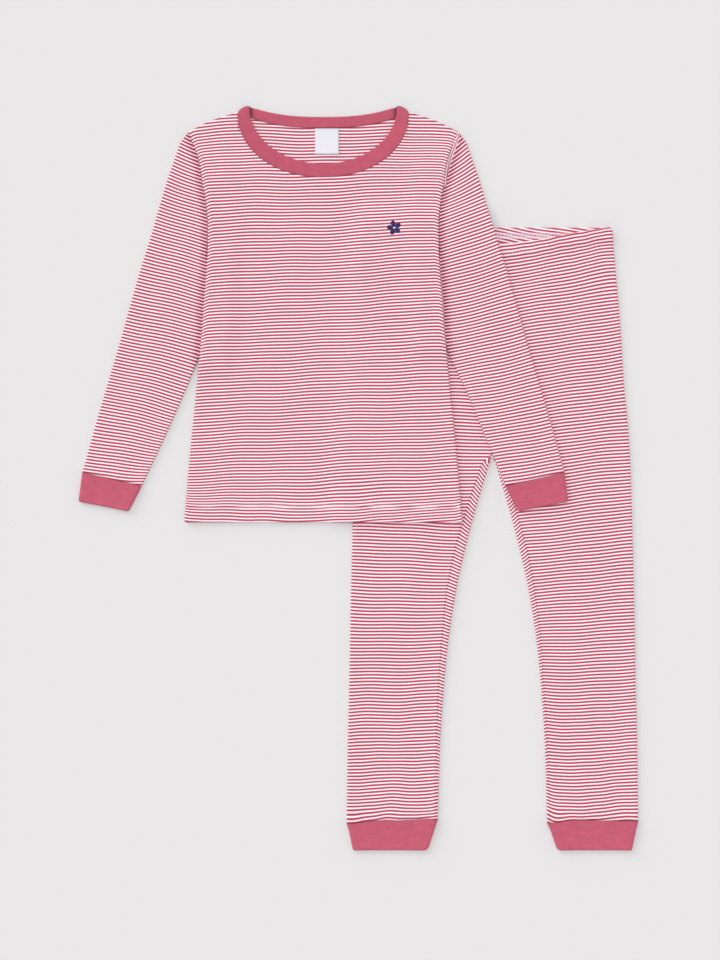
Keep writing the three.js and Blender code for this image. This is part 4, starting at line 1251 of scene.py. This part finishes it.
def neckband_grid():
    across = spread([0, 0.06, 0.88, 0.97, 1.0], 0.1)[:, None]
    along = np.linspace(-BAND_END, BAND_END, 110)[None]
    turn = np.linspace(0, math.pi, 9)[None, 1:-1]
    radius = (BAND_FRONT - BAND_BACK) / 2

    def arc(curve, seam, free, share):
        seam_x, seam_down = curve(seam, share)
        free_x, free_down = curve(free, share)
        start = SEAM_GAP / np.hypot(seam_x - free_x, seam_down - free_down)
        place = mix(start, 1, across)
        corner = TURN_CORNER * ((1 - rises(across, 0, 0.2)) + 0.6 * rises(across, 0.85, 1.0))
        bow = TURN_BOW * np.sin(math.pi * across) - corner
        bow = bow * rises(np.abs(share), 0.88, BAND_END)
        x = mix(seam_x, free_x, place) + np.sign(seam_x) * TURN_ASIDE[0] * bow
        return x, mix(seam_down, free_down, place) - TURN_ASIDE[1] * bow

    front = arc(front_curve, FRONT_NECK, FRONT_NECK_EDGE, along)
    back = arc(back_curve, BACK_NECK, BACK_NECK_EDGE, -along)
    parts = [(*front, BAND_FRONT + 0 * front[0])]

    def add_turn(first, second, side):
        over = turn / math.pi
        rising = np.sin(turn) * radius
        x = mix(first[0], second[0], over) + side * TURN_ASIDE[0] * rising
        down = mix(first[1], second[1], over) - TURN_ASIDE[1] * rising
        return x, down

    right_end = [part[:, -1:] for part in front], [part[:, :1] for part in back]
    left_end = [part[:, -1:] for part in back], [part[:, :1] for part in front]
    level = BAND_BACK + radius
    parts.append((*add_turn(*right_end, 1), level + radius * np.cos(turn) + 0 * across))
    parts.append((*back, BAND_BACK + 0 * back[0]))
    parts.append((*add_turn(*left_end, -1), level - radius * np.cos(turn) + 0 * across))
    x, down, z = (np.concatenate([part[k] for part in parts], axis=1) for k in range(3))
    points = np.stack([TOP_X + x, TOP_Y - down, z], axis=2)
    middle = points[MIDDLE_ROW]
    steps = np.linalg.norm(np.diff(middle, axis=0, append=middle[:1]), axis=1)
    length = np.concatenate([[0], np.cumsum(steps)])
    ribs = length * round(length[-1] / BAND_RIB) / length[-1]
    ribs = np.broadcast_to(ribs, (len(across), len(ribs)))
    from_seam = across * BAND_WIDTH
    courses = np.broadcast_to(from_seam / CUFF_COURSE, ribs.shape)
    shell = DOUBLED * rounded_rim((1 - across) * BAND_WIDTH, BAND_ROUND["fold"])
    shell = shell * rounded_rim(from_seam + BAND_ROUND["seam_start"], BAND_ROUND["seam"])
    under = (z < BAND_FRONT - 0.6) & (np.abs(x) > BAND_SHADE["from"])
    at_seam = 1 - rises(from_seam, 0, BAND_SHADE["seam_width"])
    shade = BAND_SHADE["under"] * under * rises(np.abs(x), *BAND_SHADE["grows"])
    shade = np.clip(BAND_SHADE["seam"] * at_seam + shade, 0, 1)
    grid = {"points": points, "thickness": shell, "ribs": ribs, "stripes": courses}
    return {**grid, "shade": shade}


neck_grid = neckband_grid()
make_sheet("neckband_cloth", neck_grid, neck_knit, closed=True)

# %% [markdown]
# ## The neck label
#
# A small plain woven label of white satin is sewn in by its upper edge, just under the back
# neckband. It bears nothing. Its free end lifts a little.

# %% The label
def make_label_material():
    material, tree, shader = new_material("white satin label", 0.5, 0.15)
    ribs, courses = knit_counts(tree)
    height, tone, _ = place_knit(tree, ribs, courses, Rib_depth=0.6, Stitch_depth=0.2)
    white = shaded(tree, paint(228, 226, 234), paint(170, 165, 175))
    finish_cloth(tree, shader, white, height, tone, 0.06, 0.06)
    return material


LABEL_WEAVE = 0.7
LABEL_LIFT = 0.6
LABEL_STEP = 1.6


def label_grid():
    x = spread([LABEL["left"], LABEL["right"]], LABEL_STEP)[None]
    along = spread([0, LABEL["length"]], LABEL_STEP)[:, None]
    start = BACK_NECK["start"] + BACK_NECK["depth"] + 2 * GAP
    lift = LABEL_LIFT * rises(along, 8, LABEL["length"])
    lift = lift + 0.25 * np.sin(x / 5.0) * along / LABEL["length"]
    z = CLOTH + GAP + 0.45 + np.maximum(lift, -0.1)
    points = np.stack(np.broadcast_arrays(TOP_X + x, TOP_Y - start - along, z), axis=2)
    values = (x / LABEL_WEAVE, along / LABEL_WEAVE, 0.3 * (1 - rises(along, 0, 2.5)))
    ribs, courses, shade = (np.broadcast_to(value, points.shape[:2]) for value in values)
    grid = {"points": points, "thickness": LABEL["thickness"], "ribs": ribs, "stripes": courses}
    return {**grid, "shade": shade}


make_sheet("neck_label_cloth", label_grid(), make_label_material())

# %% [markdown]
# ## Stitches
#
# A row of stitches is one short rounded thread, repeated along a line at an even step. That is a job
# for Geometry Nodes: one group resamples the line, places a stitch at each point, turns it along
# the line and tilts it by the slant. The same group makes the twin-needle hem, the seam of the
# waist casing and, with two slants, the zigzag over the raw edge inside it. A second group turns
# plain lines into satin thread for the small flower on the chest.

# %% Node groups for thread
def new_geometry_group(name, inputs):
    group = bpy.data.node_groups.new(name, "GeometryNodeTree")
    group.interface.new_socket("Geometry", in_out="INPUT", socket_type="NodeSocketGeometry")
    group.interface.new_socket("Geometry", in_out="OUTPUT", socket_type="NodeSocketGeometry")
    for title, amount in inputs.items():
        socket = group.interface.new_socket(title, in_out="INPUT", socket_type="NodeSocketFloat")
        socket.default_value = amount
    group.interface.new_socket("Thread", in_out="INPUT", socket_type="NodeSocketMaterial")
    return group, group.nodes.new("NodeGroupInput").outputs, group.nodes.new("NodeGroupOutput").inputs


def add_node(group, kind, **sockets):
    node = group.nodes.new(kind)
    for name, value in sockets.items():
        plug(group, node.inputs[name.replace("_", " ")], value)
    return node


def make_stitch_group():
    inputs = {"Spacing": 0.003, "Length": 0.0024, "Thickness": 0.0005, "Slant": 0.0}
    group, given, out = new_geometry_group("Stitches along a line", inputs)
    line = add_node(group, "GeometryNodeMeshToCurve", Mesh=given["Geometry"])
    even = add_node(group, "GeometryNodeResampleCurve", Curve=line.outputs[0])
    even.mode = "LENGTH"
    group.links.new(given["Spacing"], even.inputs["Length"])
    turn = group.nodes.new("FunctionNodeAlignRotationToVector")
    turn.axis = "X"
    tangent = group.nodes.new("GeometryNodeInputTangent")
    group.links.new(tangent.outputs[0], turn.inputs["Vector"])
    slant = group.nodes.new("FunctionNodeAxisAngleToRotation")
    slant.inputs["Axis"].default_value = (0, 0, 1)
    group.links.new(given["Slant"], slant.inputs["Angle"])
    tilted = group.nodes.new("FunctionNodeRotateRotation")
    tilted.rotation_space = "LOCAL"
    group.links.new(turn.outputs[0], tilted.inputs[0])
    group.links.new(slant.outputs[0], tilted.inputs[1])
    size = group.nodes.new("ShaderNodeCombineXYZ")
    for axis, name in (("X", "Length"), ("Y", "Thickness"), ("Z", "Thickness")):
        group.links.new(given[name], size.inputs[axis])
    stitch = group.nodes.new("GeometryNodeMeshUVSphere")
    for name, value in (("Segments", 8), ("Rings", 6), ("Radius", 0.5)):
        stitch.inputs[name].default_value = value
    placed = group.nodes.new("GeometryNodeInstanceOnPoints")
    group.links.new(even.outputs[0], placed.inputs["Points"])
    group.links.new(stitch.outputs["Mesh"], placed.inputs["Instance"])
    group.links.new(tilted.outputs[0], placed.inputs["Rotation"])
    group.links.new(size.outputs[0], placed.inputs["Scale"])
    real = add_node(group, "GeometryNodeRealizeInstances", Geometry=placed.outputs[0])
    smooth = add_node(group, "GeometryNodeSetShadeSmooth", Geometry=real.outputs[0])
    dyed = add_node(group, "GeometryNodeSetMaterial", Geometry=smooth.outputs[0], Material=given["Thread"])
    group.links.new(dyed.outputs[0], out[0])
    return group


def make_satin_group():
    group, given, out = new_geometry_group("Satin thread", {"Thickness": 0.0005})
    line = add_node(group, "GeometryNodeMeshToCurve", Mesh=given["Geometry"])
    half = maths(group, "MULTIPLY", given["Thickness"], 0.5)
    section = group.nodes.new("GeometryNodeCurvePrimitiveCircle")
    section.inputs["Resolution"].default_value = 6
    group.links.new(half, section.inputs["Radius"])
    thread = group.nodes.new("GeometryNodeCurveToMesh")
    group.links.new(line.outputs[0], thread.inputs["Curve"])
    group.links.new(section.outputs[0], thread.inputs["Profile Curve"])
    thread.inputs["Fill Caps"].default_value = True
    smooth = add_node(group, "GeometryNodeSetShadeSmooth", Geometry=thread.outputs[0])
    dyed = add_node(group, "GeometryNodeSetMaterial", Geometry=smooth.outputs[0], Material=given["Thread"])
    group.links.new(dyed.outputs[0], out[0])
    return group


stitch_group = make_stitch_group()
satin_group = make_satin_group()

# %% From lines to thread
def make_thread_material(name, colour):
    material, _, shader = new_material(name, 0.5, 0.2)
    shader.inputs["Base Color"].default_value = colour
    return material


pale_thread = make_thread_material("pale thread", paint(250, 232, 240))
lilac_thread = make_thread_material("lilac overlock thread", paint(214, 184, 206))
# Real looper thread, drawn dark: its colour is painted shade between the overlock stitches.
shadow_thread = make_thread_material("overlock loops in painted shade", paint(120, 92, 122))
navy_thread = make_thread_material("navy thread", paint(42, 42, 98))


def make_thread(name, lines, group, thread, **values):
    """Runs a group of nodes over lines of points in mm and keeps the result as a plain mesh."""
    points, edges = [], []
    for line in lines:
        first = len(points)
        points += [tuple(spot * MM for spot in point) for point in line]
        edges += [(first + k, first + k + 1) for k in range(len(line) - 1)]
    mesh = bpy.data.meshes.new(name + "_lines")
    mesh.from_pydata(points, edges, [])
    guide = add_object(name + "_lines", mesh)
    modifier = guide.modifiers.new("thread", "NODES")
    modifier.node_group = group
    for socket in group.interface.items_tree:
        if socket.in_out == "INPUT" and socket.name in values:
            modifier[socket.identifier] = values[socket.name]
        if socket.in_out == "INPUT" and socket.name == "Thread":
            modifier[socket.identifier] = thread
    graph = bpy.context.evaluated_depsgraph_get()
    result = bpy.data.meshes.new_from_object(guide.evaluated_get(graph))
    result.name = name
    bpy.data.objects.remove(guide)
    bpy.data.meshes.remove(mesh)
    piece = add_object(name, result)
    print(name, len(result.polygons), "faces")
    return piece


threads = {}


def row_line(grid, down, columns=slice(None), lift=0.1):
    """A line across a piece at one of its rows, on top of the cloth."""
    row = int(np.argmin(np.abs(grid["rows"] - down)))
    line = grid["points"][row, columns].copy()
    thickness = np.broadcast_to(grid["thickness"], grid["points"].shape[:2])[row, columns]
    line[:, 2] += thickness / 2 + lift
    return line


# %% The twin-needle hem, and the seams of the waist casing
OVERLOCK = table(
    "name down slant spacing length",
    ("upper_rising", OVERLOCK_DOWN, 58, 1.9, 4.6), ("upper_falling", OVERLOCK_DOWN, -62, 2.3, 4.6),
    ("lower_rising", CASING_SEAM, 52, 2.1, 4.6), ("lower_falling", CASING_SEAM, -58, 1.8, 4.6),
    ("loops", OVERLOCK_DOWN + 1.7, 76, 3.7, 1.7),
)
# The loops take the dark thread, which is painted shade inside the overlock.
OVERLOCK_THREADS = {"upper_falling": lilac_thread, "loops": shadow_thread}


def make_hem_stitches():
    hem_top = TOP_LENGTH - HEM_DEPTH
    inside = slice(CURL_STEPS + 1, -CURL_STEPS - 1)
    lines = [row_line(front_grid, hem_top + step, inside) for step in (0, TWIN_NEEDLE)]
    values = {"Spacing": 3.1 * MM, "Length": 3.3 * MM, "Thickness": 0.62 * MM, "Slant": 0.0}
    threads["hem_stitches"] = make_thread("hem_stitches", lines, stitch_group, pale_thread, **values)


def make_casing_stitches():
    upper, lower = slice(UPPER_OF_LEG, -LEG_COUNTS["curl"]), slice(LEG_COUNTS["curl"], LOWER_OF_LEG)
    seams = [row_line(leg_grids[side], CASING_SEAM, upper) for side in (-1, 1)]
    values = {"Spacing": 3.0 * MM, "Length": 2.6 * MM, "Thickness": 0.45 * MM, "Slant": 0.0}
    threads["casing_stitches"] = make_thread("casing_stitches", seams, stitch_group, pale_thread, **values)
    for row in OVERLOCK:
        name = "overlock_" + row["name"]
        inside = [row_line(leg_grids[side], row["down"], lower) for side in (-1, 1)]
        values = {"Spacing": row["spacing"] * MM, "Length": row["length"] * MM}
        values = {**values, "Thickness": 0.6 * MM, "Slant": math.radians(row["slant"])}
        thread = OVERLOCK_THREADS.get(row["name"], pale_thread)
        threads[name] = make_thread(name, inside, stitch_group, thread, **values)


make_hem_stitches()
make_casing_stitches()

# %% [markdown]
# ## The small flower
#
# A little navy flower is sewn on the wearer's left chest, in satin stitch: threads laid side by
# side across each of its five petals, a little higher in the middle. Its heart is left open, with
# the cloth showing through, and a ring of thread goes round the heart.

# %% The flower on the chest
FLOWER = {"x": 74.3, "down": 127.6, "radius": 7.6, "petals": 5, "turn": 14.0}
PETAL = {"near": 1.8, "wide": 3.2, "threads": 15}
HEART = {"radius": 1.55, "points": 20}
SATIN_THICKNESS = 0.5


def front_height(x, down):
    """How high the front of the top is at a few places."""
    spots = front_grid["points"].reshape(-1, 3)
    near = (spots[:, 0] - TOP_X - x) ** 2 + (TOP_Y - spots[:, 1] - down) ** 2
    closest = np.argsort(near)[:6]
    weights = 1 / (near[closest] + 0.05)
    return float((spots[closest, 2] * weights).sum() / weights.sum()) + CLOTH / 2


def flower_line(places, lift):
    """A line on the front from places (right, up) seen from the middle of the flower."""
    base = front_height(FLOWER["x"], FLOWER["down"])
    x, y = TOP_X + FLOWER["x"], TOP_Y - FLOWER["down"]
    return [(x + right, y + up, base + 0.05 + high) for (right, up), high in zip(places, lift)]


def petal_lines(angle):
    """Threads across one petal, from its foot to its tip."""
    lines = []
    length = FLOWER["radius"] - PETAL["near"]
    for number in range(PETAL["threads"]):
        along = (number + 0.5) / PETAL["threads"]
        half = PETAL["wide"] * math.sin(math.pi * along**0.8) ** 0.6 * (0.55 + 0.45 * along)
        reach = PETAL["near"] + length * along
        places, lift = [], []
        for step in (-1, -0.6, 0, 0.6, 1):
            right, up = step * half, reach - 0.12 * step * step * half
            turned = (
                right * math.cos(angle) - up * math.sin(angle),
                right * math.sin(angle) + up * math.cos(angle),
            )
            places.append(turned)
            lift.append(0.55 * (1 - step * step) + 0.1)
        lines.append(flower_line(places, lift))
    return lines


def make_flower():
    lines = []
    for petal in range(FLOWER["petals"]):
        lines += petal_lines(math.radians(FLOWER["turn"] + 360 * petal / FLOWER["petals"]))
    turns = [2 * math.pi * k / HEART["points"] for k in range(HEART["points"] + 1)]
    for grown in (0, 0.35):
        radius = HEART["radius"] + grown
        places = [(radius * math.cos(turn), radius * math.sin(turn)) for turn in turns]
        lines.append(flower_line(places, [0.45 - grown] * len(places)))
    thickness = {"Thickness": SATIN_THICKNESS * MM}
    threads["chest_flower"] = make_thread("chest_flower", lines, satin_group, navy_thread, **thickness)


make_flower()

# %% [markdown]
# ## The surface, the light and the camera
#
# The set lies on a plain, pale ground. As in a studio for clothes, most of the light comes from
# beside the camera and from all round, so hardly any shadow shows. A lamp on the upper left, broad
# as a window, gives every ridge of cloth a bright side and a soft shade towards the lower right.
# The camera looks straight down, far enough away to keep the edges true.

# %% The ground
GROUND = {"colour": paint(226, 224, 225), "half": 3.0, "level": -0.0002}


def make_ground():
    mesh = bpy.data.meshes.new("ground")
    half = GROUND["half"]
    corners = [(-half, -half), (half, -half), (half, half), (-half, half)]
    mesh.from_pydata([(x, y, GROUND["level"]) for x, y in corners], [], [(0, 1, 2, 3)])
    material, _, shader = new_material("pale ground", 0.9, 0.0)
    shader.inputs["Base Color"].default_value = GROUND["colour"]
    mesh.materials.append(material)
    add_object("ground", mesh)


make_ground()

# %% The light and the camera
VIEW_CENTRE = (0.0016, -0.00185)
VIEW_HEIGHT = 1.008
LENS = 100.0
SENSOR = 36.0
LIGHTS = {
    "window": {"place": (-1.0, 0.9, 0.62), "softness": 36, "strength": 0.95},
    "overhead_fill": {"place": (-0.05, 0.1, 1.0), "softness": 26, "strength": 1.1},
}
ROOM_LIGHT = 0.6


def make_camera():
    data = bpy.data.cameras.new("overhead")
    data.lens = LENS
    data.sensor_width = SENSOR
    data.clip_end = 20
    camera = add_object("overhead", data)
    camera.location = (*VIEW_CENTRE, VIEW_HEIGHT * LENS / SENSOR)
    bpy.context.scene.camera = camera


def make_lights():
    for name, light in LIGHTS.items():
        data = bpy.data.lights.new(name, "SUN")
        data.angle = math.radians(light["softness"])
        data.energy = light["strength"]
        lamp = add_object(name, data)
        lamp.location = light["place"]
        lamp.rotation_euler = (-lamp.location).to_track_quat("-Z", "Y").to_euler()
    world = bpy.data.worlds.new("room")
    world.use_nodes = True
    background = world.node_tree.nodes["Background"]
    background.inputs["Color"].default_value = (1.0, 1.0, 1.0, 1.0)
    background.inputs["Strength"].default_value = ROOM_LIGHT
    bpy.context.scene.world = world
    bpy.context.scene.view_settings.view_transform = "Standard"


make_camera()
make_lights()

# %% [markdown]
# ## Putting the cloth in place of the solids
#
# Each piece now rides on the body "root", and the solid that it replaces is hidden. The cut of its
# cloth was measured on the piece when it was made: its longest way across, its longest way down
# and its area. Tubes count all the way round.

# %% What each piece stands for
PLACES = table(
    "piece slot below",
    ("top_front", "striped_rib", "top_back_cloth"),
    ("top_back", "striped_rib", "trouser_leg_right_cloth"),
    ("sleeve_right", "striped_rib", "ground"),
    ("sleeve_left", "striped_rib", "trouser_leg_left_cloth"),
    ("wrist_cuff_right", "rib_band", "ground"),
    ("wrist_cuff_left", "rib_band", "trouser_leg_left_cloth"),
    ("neckband", "rib_band", "ground"),
    ("neck_label", "label_cloth", "top_back_cloth"),
    ("trouser_leg_right", "striped_rib", "ground"),
    ("trouser_leg_left", "striped_rib", "ground"),
    ("inner_leg_strip_right", "striped_rib", "ground"),
    ("inner_leg_strip_left", "striped_rib", "ground"),
    ("ankle_cuff_right", "rib_band", "ground"),
    ("ankle_cuff_left", "rib_band", "ground"),
)
TWO_SOLIDS = {"neckband": ["neckband_front", "neckband_back"]}
for row in PLACES:
    made = soft_pieces[row["piece"] + "_cloth"]
    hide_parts(*TWO_SOLIDS.get(row["piece"], [row["piece"]]))
    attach(made["piece"], "root")

for name, piece in threads.items():
    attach(piece, "root")
